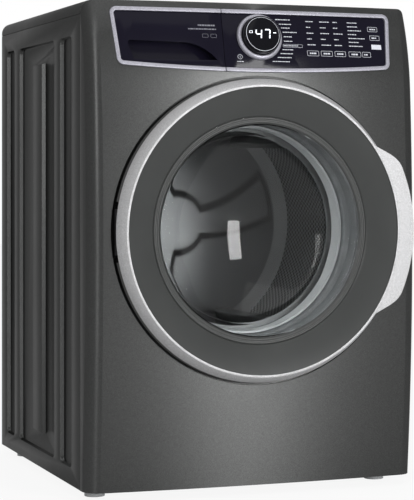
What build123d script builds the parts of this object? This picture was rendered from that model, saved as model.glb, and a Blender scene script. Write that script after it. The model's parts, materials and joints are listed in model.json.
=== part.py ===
from build123d import *
import os
from math import asin, cos, degrees, sin, sqrt

# Front load washing machine, 27 inch wide class. Lengths are in millimetres.
# X runs to the right as seen from the front, Y runs backwards and Z runs up.
# The origin lies on the floor under the middle of the overall box.
# Depths are measured from the seam where the front panel meets the side panels.

# Cabinet
WIDTH = 686.0
HEIGHT = 965.0
SIDE_DEPTH = 650.0
FLOOR_GAP = 20.0
TOP_RISE = 27.0
TOP_CORNER = 22.0
TOP_WALL = 2.5
SHEET = 1.2
SEAM_GAP = 0.6
FIT = 0.3
RUN_FIT = 0.05
FLANGE = 22.0
SIDE_TOP = HEIGHT - TOP_RISE

# Stepped pressing of the side panels, as depth behind the seam and height
RECESS_DEPTH = 8.0
RECESS_CORNER = 12.0
RECESS_TAPER = 14.0
RECESS_LOW = 54.0
RECESS_HIGH = HEIGHT - 66.0
RECESS_SPANS = [(63.0, 149.0), (195.0, 486.0), (530.0, 601.0)]
ISLAND_SPAN = (294.0, 367.0)
ISLAND_LOW = 93.0
ISLAND_HIGH = HEIGHT - 109.0

# Front panel: crowned in the plan and in the side view, bent back at the console
FRONT_REACH = 78.0
PLAN_BOW = 13.0
CROWN_Z = HEIGHT - 475.0
CROWN_RADIUS = 4900.0
BEND_Z = HEIGHT - 165.0
BEND_RADIUS = 520.0
FRONT_CORNER = 32.0
FRONT_WALL = 2.5
FORM_DEPTH = 170.0

# Console
CONSOLE_TOP = HEIGHT - 13.0
CONSOLE_TOP_HALF = WIDTH / 2 - 48.0
CONSOLE_BOTTOM = HEIGHT - 126.0
CONSOLE_BOTTOM_HALF = WIDTH / 2 - 58.0
CONSOLE_SAG = 11.0
CONSOLE_CORNER = 14.0
CONSOLE_SINK = 1.8
CONSOLE_DEPTH = 300.0
SPLIT_X = -69.0
SPLIT_GAP = 1.0
TRIM_WIDTH = 8.0
TRIM_PROUD = 3.0
TRIM_DEPTH = 7.0
FASCIA_DROP = 0.6
FASCIA_WALL = 3.2
DIAL_X = 6.0
DIAL_Z = HEIGHT - 68.0
DIAL_RADIUS = 47.0
DIAL_HEIGHT = 8.0
DIAL_CHAMFER = 3.0
DIAL_WALL = 2.7
DIAL_RISE = 20.0
DIAL_TOP_CHAMFER = 1.0
LENS_RADIUS = 35.0
LENS_HEIGHT = 21.5
SEAT_RADIUS = 46.0
SEAT_DEPTH = 6.0
SEAT_RISE = 0.5
BOARD_BACK = 20.0
BOARD_THICK = 1.6
BOARD_WIDTH = 290.0
BOARD_HEIGHT = 74.0
BOARD_POST = 7.0

# Dispenser drawer
POCKET_DEPTH = 22.0
POCKET_WALL = 3.0
POCKET_LEFT = -264.0
POCKET_RIGHT = -84.0
POCKET_TOP = HEIGHT - 78.0
POCKET_BOTTOM = HEIGHT - 115.0
TRAY_LEFT = -264.0
TRAY_RIGHT = -84.0
TRAY_BOTTOM = HEIGHT - 124.0
TRAY_TOP = HEIGHT - 62.0
TRAY_END = 195.0
TRAY_WALL = 2.2
TRAY_CELLS = [62.0, 52.0]
CELL_FRONT = -16.0
SIPHON_WIDTH = 30.0
SIPHON_LENGTH = 36.0
SIPHON_HEIGHT = 40.0
HOUSING_WALL = 2.5
HOUSING_SIDE_GAP = 1.5
HOUSING_TOP = HEIGHT - 35.0
HOUSING_FRONT = -20.0
HOUSING_END = 206.0

# Door, dish and gasket
DRUM_DROP = 446.0
DOOR_FRONT = 110.0
BEAD_RADIUS = 281.0
BEAD_HALF = 2.0
BEAD_DEPTH = 2.5
RING_BASE = 82.0
RING_BASE_RADIUS = 296.0
RING_WALL = 2.5
GRIP_RADIUS = 314.0
GRIP_SPAN = 23.0
GRIP_REACH = 37.0
GRIP_ROOT_RADIUS = 282.0
GRIP_BACK = 97.0
GRIP_FRONT = 109.0
FUNNEL_RADIUS = 222.0
FUNNEL_FLOOR = 81.0
FUNNEL_WALL = 2.2
GLASS_RIM = 227.0
GLASS_FRONT = 78.5
GLASS_MOUTH = 206.0
GLASS_WALL = 5.0
GLASS_END = 62.0
GLASS_END_RADIUS = 150.0
GLASS_CORNER = 55.0
FRAME_BORE = 212.0
FRAME_BACK = 70.4
FRAME_WALL = 2.8
DISH_RADIUS = 302.0
DISH_FLOOR = 60.0
APERTURE = 216.0
APERTURE_RIM = 14.0
GASKET_WALL = 3.5
GASKET_FOLD = 233.0

# Door hinge and latch
PIN_X = -292.0
PIN_AHEAD = 75.0
PIN_RADIUS = 3.0
KNUCKLE_RADIUS = 5.0
KNUCKLE_LOW = 26.0
KNUCKLE_HIGH = 44.0
LEAF_HALF = 25.5
LEAF_THICK = 2.9
BRACKET_HALF = 52.0
BRACKET_THICK = 2.5
BRACKET_ARM = 6.0
HOOK_X = 262.0
HOOK_AHEAD = 65.5
HOOK_EYE = 4.4
HOOK_REACH = 26.0
HOOK_HALF = 6.0
TRUNNION_RADIUS = 2.5
EAR_THICK = 4.0
EAR_WIDTH = 14.0

# Tub, drum and drive, as distances behind the seam
TUB_RADIUS = 288.0
TUB_WALL = 4.0
TUB_NECK = 206.6
TUB_NECK_FRONT = 12.0
TUB_FRONT = 44.0
TUB_SPLIT = 88.0
TUB_BACK = 496.0
HUB_RADIUS = 42.0
HUB_FRONT = 487.0
HUB_BACK = 548.0
RIB_COUNT = 8
RIB_THICK = 5.0
RIB_DEPTH = 14.0
BEARING_RADIUS = 31.0
BEARING_WIDTH = 16.0
SHAFT_RADIUS = 15.0
SHAFT_END = 594.0
DRUM_CLEARANCE = 20.0
DRUM_RADIUS = TUB_RADIUS - DRUM_CLEARANCE
DRUM_MOUTH = 199.0
DRUM_FRONT = 62.0
DRUM_BACK = 470.0
DRUM_BACK_CORNER = 24.0
SPIDER_FRONT = 471.6
SPIDER_THICK = 12.0
SPIDER_MARGIN = 22.0
LIFTER_START = 110.0
LIFTER_END = 425.0
LIFTER_HEIGHT = 58.0
LIFTER_HALF = 38.0
LIFTER_ANGLES = [55.0, 175.0, 295.0]
PULLEY_RADIUS = 150.0
PULLEY_RIM = 10.0
PULLEY_WIDTH = 18.0
PULLEY_FRONT = 566.0
PULLEY_HUB = 26.0
MOTOR_GAP = 8.0
MOTOR_RADIUS = 46.0
MOTOR_FRONT = 345.0
MOTOR_BACK = 548.0
MOTOR_PULLEY_RADIUS = 12.5
MOTOR_SHAFT_RADIUS = 7.0
BELT_WIDTH = 14.0
BELT_THICK = 4.0

# Suspension and weights
WEIGHT_START = 216.0
WEIGHT_LENGTH = 170.0
WEIGHT_WIDTH = 300.0
WEIGHT_THICK = 40.0
BRACE_BACK = 260.0
BRACE_DEPTH = 40.0
BRACE_HEIGHT = 29.0
SPRING_X = 230.0
SPRING_RADIUS = 17.0
LUG_HEIGHT = 30.0
DAMPER_X = 215.0
DAMPER_BACK = 270.0
DAMPER_RADIUS = 16.0
DAMPER_TOP = 175.0
ROD_RADIUS = 9.0
ROD_LOW = 104.0

# Water, power and feet
INLET_XS = [-200.0, -145.0]
INLET_Z = HEIGHT - 80.0
SPIGOT_RADIUS = 13.2
SPIGOT_LENGTH = 24.0
VALVE_MARGIN = 60.0
VALVE_WINDOW = 46.0
DRAIN_Z = 72.0
DRAIN_RADIUS = 15.0
OUTLET_FLANGE = 58.0
REAR_REACH = 45.0
FILL_RADIUS = 8.0
GLAND_INSET = 93.0
GLAND_X = WIDTH / 2 - GLAND_INSET
GLAND_Z = INLET_Z
GLAND_BORE = 4.6
PUMP_X = 110.0
PUMP_BACK = 170.0
PUMP_RADIUS = 45.0
SUMP_RADIUS = 22.0
FEED_X = -200.0
FEED_BACK = 150.0
FEED_RADIUS = 18.0
TUBE_WALL = 3.0
HOSE_LAP = 5.0
COVER_WIDTH = 400.0
COVER_LOW = 95.0
COVER_ABOVE = 171.0
COVER_RISE = 14.0
COVER_LAP = 18.0
PAN_TOP = 50.0
PAN_WALL = 1.6
FOOT_X = WIDTH / 2 - 43.5
FOOT_BACKS = [51.0, 599.0]
FOOT_RADIUS = 20.0
FOOT_PAD = 9.0
STUD_RADIUS = 5.0
STUD_TOP = 52.0
BOSS_RADIUS = 13.0
BOSS_TOP = 44.0

# Placing
DRUM_Z = HEIGHT - DRUM_DROP
SEAM_Y = (DOOR_FRONT - SIDE_DEPTH - REAR_REACH) / 2
PAN_BOTTOM = FLOOR_GAP + SHEET + FIT
PAN_FLOOR = PAN_BOTTOM + PAN_WALL
REAR_FACE = SIDE_DEPTH - SHEET - FIT
TUB_OUTER = TUB_RADIUS + TUB_WALL
SPIDER_REACH = DRUM_RADIUS - SPIDER_MARGIN
MOTOR_Z = DRUM_Z - TUB_OUTER - MOTOR_GAP - MOTOR_RADIUS
SIDE_INNER = WIDTH / 2 - SHEET

os.makedirs("parts", exist_ok=True)


def behind(distance):
    """Y of a point at this distance behind the front seam."""
    return SEAM_Y + distance


def ahead(distance):
    """Y of a point at this distance ahead of the front seam."""
    return SEAM_Y - distance


def front_plane(distance):
    """Plane facing forwards, ahead of the seam, centred on the drum axis."""
    return Plane(origin=(0, ahead(distance), DRUM_Z), x_dir=(1, 0, 0), z_dir=(0, -1, 0))


def rear_plane(distance):
    """Plane facing backwards, behind the seam, with its height measured from the floor."""
    return Plane(origin=(0, behind(distance), 0), x_dir=(-1, 0, 0), z_dir=(0, 1, 0))


def keep(piece, name):
    """Label a finished piece and write its file."""
    piece.part.label = name
    export_step(piece.part, f"parts/{name}.step")


# Turned pieces are drawn as radius and distance behind the seam, then spun about the drum axis
LATHE = Plane(origin=(0, SEAM_Y, DRUM_Z), x_dir=(1, 0, 0), z_dir=(0, 0, 1))
DRUM_AXIS = Axis((0, 0, DRUM_Z), (0, 1, 0))

# The crowned front is one plan outline swung down about a far axis and up about a near one
BEND_ANGLE = asin((BEND_Z - CROWN_Z) / CROWN_RADIUS)
BEND_Y = ahead(FRONT_REACH) + CROWN_RADIUS * (1 - cos(BEND_ANGLE))
BEND_AXIS_Y = BEND_Y + BEND_RADIUS * cos(BEND_ANGLE)
BEND_AXIS_Z = BEND_Z - BEND_RADIUS * sin(BEND_ANGLE)
BEND_PLANE = Plane(
    origin=(0, BEND_Y, BEND_Z), x_dir=(1, 0, 0), z_dir=(0, sin(BEND_ANGLE), cos(BEND_ANGLE))
)
CROWN_AXIS = Axis((0, ahead(FRONT_REACH) + CROWN_RADIUS, CROWN_Z), (1, 0, 0))
BEND_AXIS = Axis((0, BEND_AXIS_Y, BEND_AXIS_Z), (-1, 0, 0))
CROWN_SWEEP = degrees(BEND_ANGLE + asin(CROWN_Z / CROWN_RADIUS)) + 0.6
BEND_SWEEP = degrees(asin((HEIGHT - BEND_AXIS_Z) / BEND_RADIUS) - BEND_ANGLE) + 8
BOW_RADIUS = ((WIDTH / 2) ** 2 + PLAN_BOW**2) / (2 * PLAN_BOW)

# The console is one sheet bowed in plan, which leans with the bend at its middle
LEAN = asin(((CONSOLE_TOP + CONSOLE_BOTTOM) / 2 - BEND_AXIS_Z) / BEND_RADIUS)
LEAN_Y = BEND_AXIS_Y - (BEND_RADIUS - CONSOLE_SINK) * cos(LEAN)
LEAN_Z = BEND_AXIS_Z + (BEND_RADIUS - CONSOLE_SINK) * sin(LEAN)
LEAN_PLANE = Plane(origin=(0, LEAN_Y, LEAN_Z), x_dir=(1, 0, 0), z_dir=(0, sin(LEAN), cos(LEAN)))

# The dial stands square to the console
DIAL_PLANE = Plane(
    origin=(DIAL_X, LEAN_Y + (DIAL_Z - LEAN_Z) * sin(LEAN) / cos(LEAN), DIAL_Z),
    x_dir=(1, 0, 0),
    z_dir=(0, -cos(LEAN), sin(LEAN)),
)


def crowned_form(inset):
    """Solid behind the crowned front, moved in by inset, rounded outside and bevelled inside."""
    half = WIDTH / 2 - inset
    edge = BOW_RADIUS - sqrt((BOW_RADIUS - inset) ** 2 - half**2)
    with BuildPart() as form:
        with BuildSketch(BEND_PLANE) as plan:
            with BuildLine():
                ThreePointArc((-half, edge), (0, inset), (half, edge))
                Polyline((half, edge), (half, FORM_DEPTH), (-half, FORM_DEPTH), (-half, edge))
            make_face()
            corners = plan.vertices().group_by(Axis.Y)[0]
            if inset:
                chamfer(corners, length=(2 - sqrt(2)) * (FRONT_CORNER - inset))
            else:
                fillet(corners, radius=FRONT_CORNER)
        revolve(axis=CROWN_AXIS, revolution_arc=CROWN_SWEEP)
        revolve(plan.sketch.faces(), axis=BEND_AXIS, revolution_arc=BEND_SWEEP)
    return form.part


def front_block(inset):
    """Crowned form cut to the front view outline, with rounded top corners."""
    with BuildPart() as block:
        add(crowned_form(inset))
        with BuildSketch(Plane.XZ) as outline:
            with Locations((0, (FLOOR_GAP + HEIGHT) / 2)):
                Rectangle(WIDTH - 2 * inset, HEIGHT - FLOOR_GAP - 2 * inset)
            fillet(outline.vertices().group_by(Axis.Y)[-1], radius=TOP_CORNER - inset)
        extrude(amount=WIDTH, both=True, mode=Mode.INTERSECT)
    return block.part


def console_form(inset):
    """Solid behind the bowed console, with its front moved in by inset."""
    half = WIDTH / 2
    edge = BOW_RADIUS - sqrt((BOW_RADIUS - inset) ** 2 - half**2)
    with BuildPart() as form:
        with BuildSketch(LEAN_PLANE):
            with BuildLine():
                ThreePointArc((-half, edge), (0, inset), (half, edge))
                Polyline((half, edge), (half, CONSOLE_DEPTH), (-half, CONSOLE_DEPTH), (-half, edge))
            make_face()
        extrude(amount=CONSOLE_TOP - CONSOLE_BOTTOM, both=True)
    return form.part


def console_face(inset):
    """Console outline in the front view, moved in by inset."""
    with BuildSketch() as face:
        with BuildLine():
            Polyline(
                (-CONSOLE_BOTTOM_HALF, CONSOLE_BOTTOM),
                (-CONSOLE_TOP_HALF, CONSOLE_TOP),
                (CONSOLE_TOP_HALF, CONSOLE_TOP),
                (CONSOLE_BOTTOM_HALF, CONSOLE_BOTTOM),
            )
            ThreePointArc(
                (CONSOLE_BOTTOM_HALF, CONSOLE_BOTTOM),
                (0, CONSOLE_BOTTOM - CONSOLE_SAG),
                (-CONSOLE_BOTTOM_HALF, CONSOLE_BOTTOM),
            )
        make_face()
        fillet(face.vertices(), radius=CONSOLE_CORNER)
        if inset:
            offset(amount=-inset)
    return face.sketch


def pocket_face(margin):
    """Leaf shaped finger pocket of the drawer in the front view, grown by margin."""
    with BuildSketch() as face:
        with BuildLine():
            Polyline(
                (POCKET_RIGHT, POCKET_BOTTOM),
                (POCKET_LEFT + 12, POCKET_BOTTOM),
                (POCKET_LEFT, POCKET_TOP),
                (POCKET_RIGHT - 68, POCKET_TOP - 3),
            )
            ThreePointArc(
                (POCKET_RIGHT - 68, POCKET_TOP - 3),
                (POCKET_RIGHT - 27, POCKET_TOP - 14),
                (POCKET_RIGHT, POCKET_BOTTOM),
            )
        make_face()
        fillet(face.vertices().group_by(Axis.X)[0], radius=6)
        if margin:
            offset(amount=margin)
    return face.sketch


def side_form(inset, reach):
    """Block behind the left side pressing, with its faces moved in by inset."""
    high = SIDE_TOP - SEAM_GAP - inset
    low = FLOOR_GAP + inset
    near = SEAM_GAP + inset
    far = SIDE_DEPTH - inset
    outer = Plane(origin=(-WIDTH / 2 + inset, SEAM_Y, 0), x_dir=(0, -1, 0), z_dir=(-1, 0, 0))
    with BuildPart() as form:
        with BuildSketch(outer):
            with Locations((-(near + far) / 2, (low + high) / 2)):
                Rectangle(far - near, high - low)
        extrude(amount=-reach)
        for start, end in RECESS_SPANS:
            with BuildSketch(outer) as recess:
                with Locations((-(start + end) / 2, (RECESS_LOW + RECESS_HIGH) / 2)):
                    Rectangle(end - start + 2 * inset, RECESS_HIGH - RECESS_LOW + 2 * inset)
                if not inset:
                    fillet(recess.vertices(), radius=RECESS_CORNER)
            extrude(amount=-RECESS_DEPTH, taper=RECESS_TAPER, mode=Mode.SUBTRACT)
        with BuildSketch(outer):
            with Locations((-sum(ISLAND_SPAN) / 2, (ISLAND_LOW + ISLAND_HIGH) / 2)):
                Rectangle(ISLAND_SPAN[1] - ISLAND_SPAN[0] - 2 * inset, ISLAND_HIGH - ISLAND_LOW - 2 * inset)
        extrude(amount=-RECESS_DEPTH - FIT, taper=-RECESS_TAPER)
    return form.part


# Side panels: one pressed sheet with flanges turned in all round, and its mirror image
with BuildPart() as side_panel_left:
    add(side_form(0, FLANGE))
    add(side_form(SHEET, FLANGE + SHEET), mode=Mode.SUBTRACT)
keep(side_panel_left, "side_panel_left")

with BuildPart() as side_panel_right:
    mirror(side_panel_left.part, about=Plane.YZ)
keep(side_panel_right, "side_panel_right")

# Top panel: hollow lid with rounded side edges
with BuildPart() as top_panel:
    with BuildSketch(rear_plane(SEAM_GAP)) as lid:
        with Locations((0, (SIDE_TOP + HEIGHT) / 2)):
            Rectangle(WIDTH, TOP_RISE)
        fillet(lid.vertices().group_by(Axis.Y)[-1], radius=TOP_CORNER)
    extrude(amount=SIDE_DEPTH - SEAM_GAP)
    with BuildSketch(rear_plane(SEAM_GAP + TOP_WALL)) as hollow:
        with Locations((0, (SIDE_TOP + HEIGHT) / 2 - TOP_WALL)):
            Rectangle(WIDTH - 2 * TOP_WALL, TOP_RISE)
        fillet(hollow.vertices().group_by(Axis.Y)[-1], radius=TOP_CORNER - TOP_WALL)
    extrude(amount=SIDE_DEPTH - SEAM_GAP - 2 * TOP_WALL, mode=Mode.SUBTRACT)
keep(top_panel, "top_panel")

# Front panel: crowned shell with a round dish for the door and an opening for the console
with BuildPart() as front_panel:
    add(front_block(0))
    split(bisect_by=Plane.XZ.offset(-SEAM_Y), keep=Keep.TOP)
    add(front_block(FRONT_WALL), mode=Mode.SUBTRACT)
    with BuildSketch(front_plane(DISH_FLOOR - FRONT_WALL)):
        Circle(DISH_RADIUS + FRONT_WALL)
    extrude(amount=FRONT_WALL + 5)
    with BuildSketch(front_plane(DISH_FLOOR)):
        Circle(DISH_RADIUS)
    extrude(amount=FRONT_REACH, mode=Mode.SUBTRACT)
    with BuildSketch(front_plane(DISH_FLOOR - APERTURE_RIM)):
        Circle(APERTURE + FRONT_WALL)
    extrude(amount=APERTURE_RIM)
    with BuildSketch(front_plane(DISH_FLOOR - APERTURE_RIM)):
        Circle(APERTURE)
        with Locations((HOOK_X + 3, 0)):
            Rectangle(34, 22)
    extrude(amount=FRONT_REACH, mode=Mode.SUBTRACT)
    with BuildSketch(Plane.XZ):
        add(console_face(-FIT))
    extrude(amount=WIDTH, both=True, mode=Mode.SUBTRACT)
keep(front_panel, "front_panel")

# Console trims: a bright frame round the console, split between controls and drawer
with BuildPart() as trim_frame:
    add(console_form(-TRIM_PROUD))
    add(console_form(TRIM_DEPTH), mode=Mode.SUBTRACT)
    with BuildSketch(Plane.XZ):
        add(console_face(0))
        add(console_face(TRIM_WIDTH), mode=Mode.SUBTRACT)
    extrude(amount=WIDTH, both=True, mode=Mode.INTERSECT)

with BuildPart() as console_trim:
    add(trim_frame.part)
    split(bisect_by=Plane.YZ.offset(SPLIT_X + SPLIT_GAP / 2), keep=Keep.TOP)
keep(console_trim, "console_trim")

with BuildPart() as drawer_trim:
    add(trim_frame.part)
    split(bisect_by=Plane.YZ.offset(SPLIT_X - SPLIT_GAP / 2), keep=Keep.BOTTOM)
keep(drawer_trim, "drawer_trim")

# Fascia sheet inside the trims, cut into the control side and the drawer side
with BuildPart() as fascia_sheet:
    add(console_form(FASCIA_DROP))
    add(console_form(FASCIA_DROP + FASCIA_WALL), mode=Mode.SUBTRACT)
    with BuildSketch(Plane.XZ):
        add(console_face(TRIM_WIDTH + FIT))
    extrude(amount=WIDTH, both=True, mode=Mode.INTERSECT)

with BuildPart() as control_fascia:
    add(fascia_sheet.part)
    split(bisect_by=Plane.YZ.offset(SPLIT_X + SPLIT_GAP / 2), keep=Keep.TOP)
    with BuildSketch(DIAL_PLANE.offset(-SEAT_DEPTH)):
        Circle(SEAT_RADIUS)
    extrude(amount=SEAT_DEPTH + SEAT_RISE)
keep(control_fascia, "control_fascia")

with BuildPart() as display_lens:
    with BuildSketch(DIAL_PLANE.offset(SEAT_RISE)):
        Circle(LENS_RADIUS)
    extrude(amount=LENS_HEIGHT)
keep(display_lens, "display_lens")

with BuildPart() as cycle_dial:
    with BuildSketch(DIAL_PLANE.offset(SEAT_RISE + FIT)):
        Circle(DIAL_RADIUS)
        Circle(LENS_RADIUS + FIT, mode=Mode.SUBTRACT)
    extrude(amount=DIAL_HEIGHT)
    dial_face = cycle_dial.faces().sort_by(Axis(DIAL_PLANE.origin, DIAL_PLANE.z_dir))[-1]
    chamfer(dial_face.edges().sort_by(SortBy.LENGTH)[-1], length=DIAL_CHAMFER)
    with BuildSketch(DIAL_PLANE.offset(SEAT_RISE + FIT)):
        Circle(LENS_RADIUS + FIT + DIAL_WALL)
        Circle(LENS_RADIUS + FIT, mode=Mode.SUBTRACT)
    extrude(amount=DIAL_RISE)
    dial_face = cycle_dial.faces().sort_by(Axis(DIAL_PLANE.origin, DIAL_PLANE.z_dir))[-1]
    chamfer(dial_face.edges().sort_by(SortBy.LENGTH)[-1], length=DIAL_TOP_CHAMFER)
keep(cycle_dial, "cycle_dial")

# Control board on posts that reach the back of the fascia
with BuildPart() as control_board:
    with BuildSketch(DIAL_PLANE.offset(-BOARD_BACK)):
        with Locations((BOARD_WIDTH / 2 - SEAT_RADIUS, 0)):
            Rectangle(BOARD_WIDTH, BOARD_HEIGHT)
    extrude(amount=BOARD_THICK)
    with BuildSketch(DIAL_PLANE.offset(-BOARD_BACK)):
        with Locations((BOARD_WIDTH / 2, 0)):
            with GridLocations(BOARD_WIDTH - 3 * SEAT_RADIUS, BOARD_HEIGHT - 2 * BOARD_POST, 2, 2):
                Rectangle(BOARD_POST, BOARD_POST)
    extrude(amount=2 * BOARD_BACK)
    add(console_form(FASCIA_DROP + FASCIA_WALL + FIT), mode=Mode.INTERSECT)
keep(control_board, "control_board")

# Finger pocket of the drawer: the hollow, and the solid that leaves a wall round it
with BuildPart() as pocket_hollow:
    add(console_form(-POCKET_DEPTH))
    add(console_form(FASCIA_DROP + POCKET_DEPTH), mode=Mode.SUBTRACT)
    with BuildSketch(Plane.XZ):
        add(pocket_face(0))
    extrude(amount=WIDTH, both=True, mode=Mode.INTERSECT)

with BuildPart() as drawer_front:
    add(console_form(FASCIA_DROP))
    add(console_form(FASCIA_DROP + POCKET_DEPTH + POCKET_WALL), mode=Mode.SUBTRACT)
    with BuildSketch(Plane.XZ):
        add(pocket_face(POCKET_WALL))
    extrude(amount=WIDTH, both=True, mode=Mode.INTERSECT)
    add(fascia_sheet.part)
    split(bisect_by=Plane.YZ.offset(SPLIT_X - SPLIT_GAP / 2), keep=Keep.BOTTOM)
    add(pocket_hollow.part, mode=Mode.SUBTRACT)
keep(drawer_front, "drawer_front")

# Drawer tray: three cells, its front face parallel to the back of the finger pocket
with BuildPart() as drawer_tray:
    with BuildSketch(Plane.XY.offset(TRAY_BOTTOM)):
        with Locations(((TRAY_LEFT + TRAY_RIGHT) / 2, behind((TRAY_END - FRONT_REACH) / 2))):
            Rectangle(TRAY_RIGHT - TRAY_LEFT, TRAY_END + FRONT_REACH)
    extrude(amount=TRAY_TOP - TRAY_BOTTOM)
    add(
        console_form(FASCIA_DROP + POCKET_DEPTH + POCKET_WALL + FIT),
        mode=Mode.INTERSECT,
    )
    last_cell = TRAY_RIGHT - TRAY_LEFT - sum(TRAY_CELLS) - (len(TRAY_CELLS) + 2) * TRAY_WALL
    cell_left = TRAY_LEFT + TRAY_WALL
    for cell_width in TRAY_CELLS + [last_cell]:
        with BuildSketch(Plane.XY.offset(TRAY_BOTTOM + TRAY_WALL)):
            with Locations((cell_left + cell_width / 2, behind((CELL_FRONT + TRAY_END - TRAY_WALL) / 2))):
                Rectangle(cell_width, TRAY_END - TRAY_WALL - CELL_FRONT)
        extrude(amount=TRAY_TOP, mode=Mode.SUBTRACT)
        cell_left += cell_width + TRAY_WALL
keep(drawer_tray, "drawer_tray")

# Siphon cap: upturned cup at the back of the right cell
with BuildPart() as siphon_cap:
    cap_x = TRAY_RIGHT - TRAY_WALL - last_cell / 2
    cap_y = behind(TRAY_END - TRAY_WALL - FIT - SIPHON_LENGTH / 2)
    with BuildSketch(Plane.XY.offset(TRAY_BOTTOM + TRAY_WALL + FIT)):
        with Locations((cap_x, cap_y)):
            Rectangle(SIPHON_WIDTH, SIPHON_LENGTH)
    extrude(amount=SIPHON_HEIGHT)
    offset(amount=-TRAY_WALL, openings=siphon_cap.faces().sort_by(Axis.Z)[0])
keep(siphon_cap, "siphon_cap")

# Dispenser housing: box open at the front, with a spout below and two lugs to the brace
HOUSING_LEFT = TRAY_LEFT - HOUSING_SIDE_GAP - HOUSING_WALL
HOUSING_RIGHT = TRAY_RIGHT + HOUSING_SIDE_GAP + HOUSING_WALL
HOUSING_FLOOR = TRAY_BOTTOM - FIT
SPOUT_LOW = HOUSING_FLOOR - HOUSING_WALL - 18
FEED_TOP = SPOUT_LOW - 20
BRACE_FRONT = BRACE_BACK - BRACE_DEPTH / 2
with BuildPart() as dispenser_housing:
    with BuildSketch(Plane.XY.offset(HOUSING_FLOOR - HOUSING_WALL)):
        with Locations(((HOUSING_LEFT + HOUSING_RIGHT) / 2, behind((HOUSING_FRONT + HOUSING_END) / 2))):
            Rectangle(HOUSING_RIGHT - HOUSING_LEFT, HOUSING_END - HOUSING_FRONT)
    extrude(amount=HOUSING_TOP - HOUSING_FLOOR + HOUSING_WALL)
    offset(amount=-HOUSING_WALL, openings=dispenser_housing.faces().sort_by(Axis.Y)[0])
    with BuildSketch(Plane.XY.offset(SPOUT_LOW)):
        with Locations((FEED_X, behind(FEED_BACK))):
            Circle(FEED_RADIUS)
    extrude(amount=HOUSING_FLOOR - SPOUT_LOW)
    with BuildSketch(Plane.XY.offset(SPOUT_LOW)):
        with Locations((FEED_X, behind(FEED_BACK))):
            Circle(FEED_RADIUS - TUBE_WALL)
    extrude(amount=HOUSING_FLOOR - SPOUT_LOW, mode=Mode.SUBTRACT)
    with BuildSketch(Plane.XY.offset(HOUSING_TOP - 18)):
        with Locations((0, behind((HOUSING_END - HOUSING_WALL + BRACE_FRONT - FIT) / 2))):
            with Locations((HOUSING_LEFT + 30, 0), (HOUSING_RIGHT - 30, 0)):
                Rectangle(24, BRACE_FRONT - FIT - HOUSING_END + HOUSING_WALL)
    extrude(amount=16)
keep(dispenser_housing, "dispenser_housing")

# Grip of the door: a flat lip that swells out of the ring on the right
with BuildPart() as grip:
    with BuildSketch(front_plane(GRIP_BACK)):
        with BuildLine():
            swell = CenterArc((0, 0), GRIP_RADIUS, -GRIP_SPAN, 2 * GRIP_SPAN)
            root = CenterArc((0, 0), GRIP_ROOT_RADIUS, -GRIP_REACH, 2 * GRIP_REACH)
            inward = Vector(-0.5, 0, 0)
            Spline(swell @ 1, root @ 1, tangents=(swell % 1, (root % 1) + inward))
            Spline(root @ 0, swell @ 0, tangents=((root % 0) - inward, swell % 0))
        make_face()
    extrude(amount=GRIP_FRONT - GRIP_BACK)

# Door ring: cone with a front bead, joined to the grip and hollowed from behind
with BuildPart() as door_ring:
    with BuildSketch(LATHE):
        with BuildLine():
            Polyline(
                (0, -DOOR_FRONT),
                (BEAD_RADIUS + BEAD_HALF, -DOOR_FRONT),
                (RING_BASE_RADIUS, -RING_BASE),
                (0, -RING_BASE),
                close=True,
            )
        make_face()
    revolve(axis=DRUM_AXIS)
    add(grip.part)
    with BuildSketch(LATHE):
        with BuildLine():
            Polyline(
                (0, -DOOR_FRONT - 1),
                (BEAD_RADIUS - BEAD_HALF, -DOOR_FRONT - 1),
                (BEAD_RADIUS - BEAD_HALF, -DOOR_FRONT + BEAD_DEPTH),
                (BEAD_RADIUS - RING_WALL / 4, -DOOR_FRONT + BEAD_DEPTH),
                (RING_BASE_RADIUS - RING_WALL, -RING_BASE),
                (RING_BASE_RADIUS - RING_WALL, -RING_BASE + 1),
                (0, -RING_BASE + 1),
                close=True,
            )
        make_face()
    revolve(axis=DRUM_AXIS, mode=Mode.SUBTRACT)
keep(door_ring, "door_ring")

# Door trim: dark funnel from behind the bead down to the glass
with BuildPart() as door_trim:
    funnel_top = DOOR_FRONT - BEAD_DEPTH - FIT
    with BuildSketch(LATHE):
        with BuildLine():
            Polyline(
                (BEAD_RADIUS - BEAD_HALF / 2, -funnel_top),
                (FUNNEL_RADIUS, -FUNNEL_FLOOR),
                (FUNNEL_RADIUS, -FUNNEL_FLOOR + FUNNEL_WALL),
                (BEAD_RADIUS - BEAD_HALF / 2, -funnel_top + FUNNEL_WALL),
                close=True,
            )
        make_face()
    revolve(axis=DRUM_AXIS)
keep(door_trim, "door_trim")

# Door glass: flat rim and a bowl of even wall that reaches into the drum mouth
GLASS_SLOPE = (GLASS_MOUTH - GLASS_END_RADIUS) / (GLASS_END + GLASS_FRONT)
GLASS_GROW = GLASS_WALL * (sqrt(1 + GLASS_SLOPE**2) - GLASS_SLOPE)


def bowl_bend(grow, deeper):
    """Three points round the corner of the bowl, on its inner or its outer face."""
    corner = (GLASS_END_RADIUS + grow, GLASS_END + deeper)
    mouth = (GLASS_MOUTH + grow, -GLASS_FRONT + deeper)
    face = FilletPolyline(mouth, corner, (0, GLASS_END + deeper), radius=GLASS_CORNER + deeper)
    bend = face.edges().filter_by(GeomType.CIRCLE)[0]
    return [bend @ 0, bend @ 0.5, bend @ 1]


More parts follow.
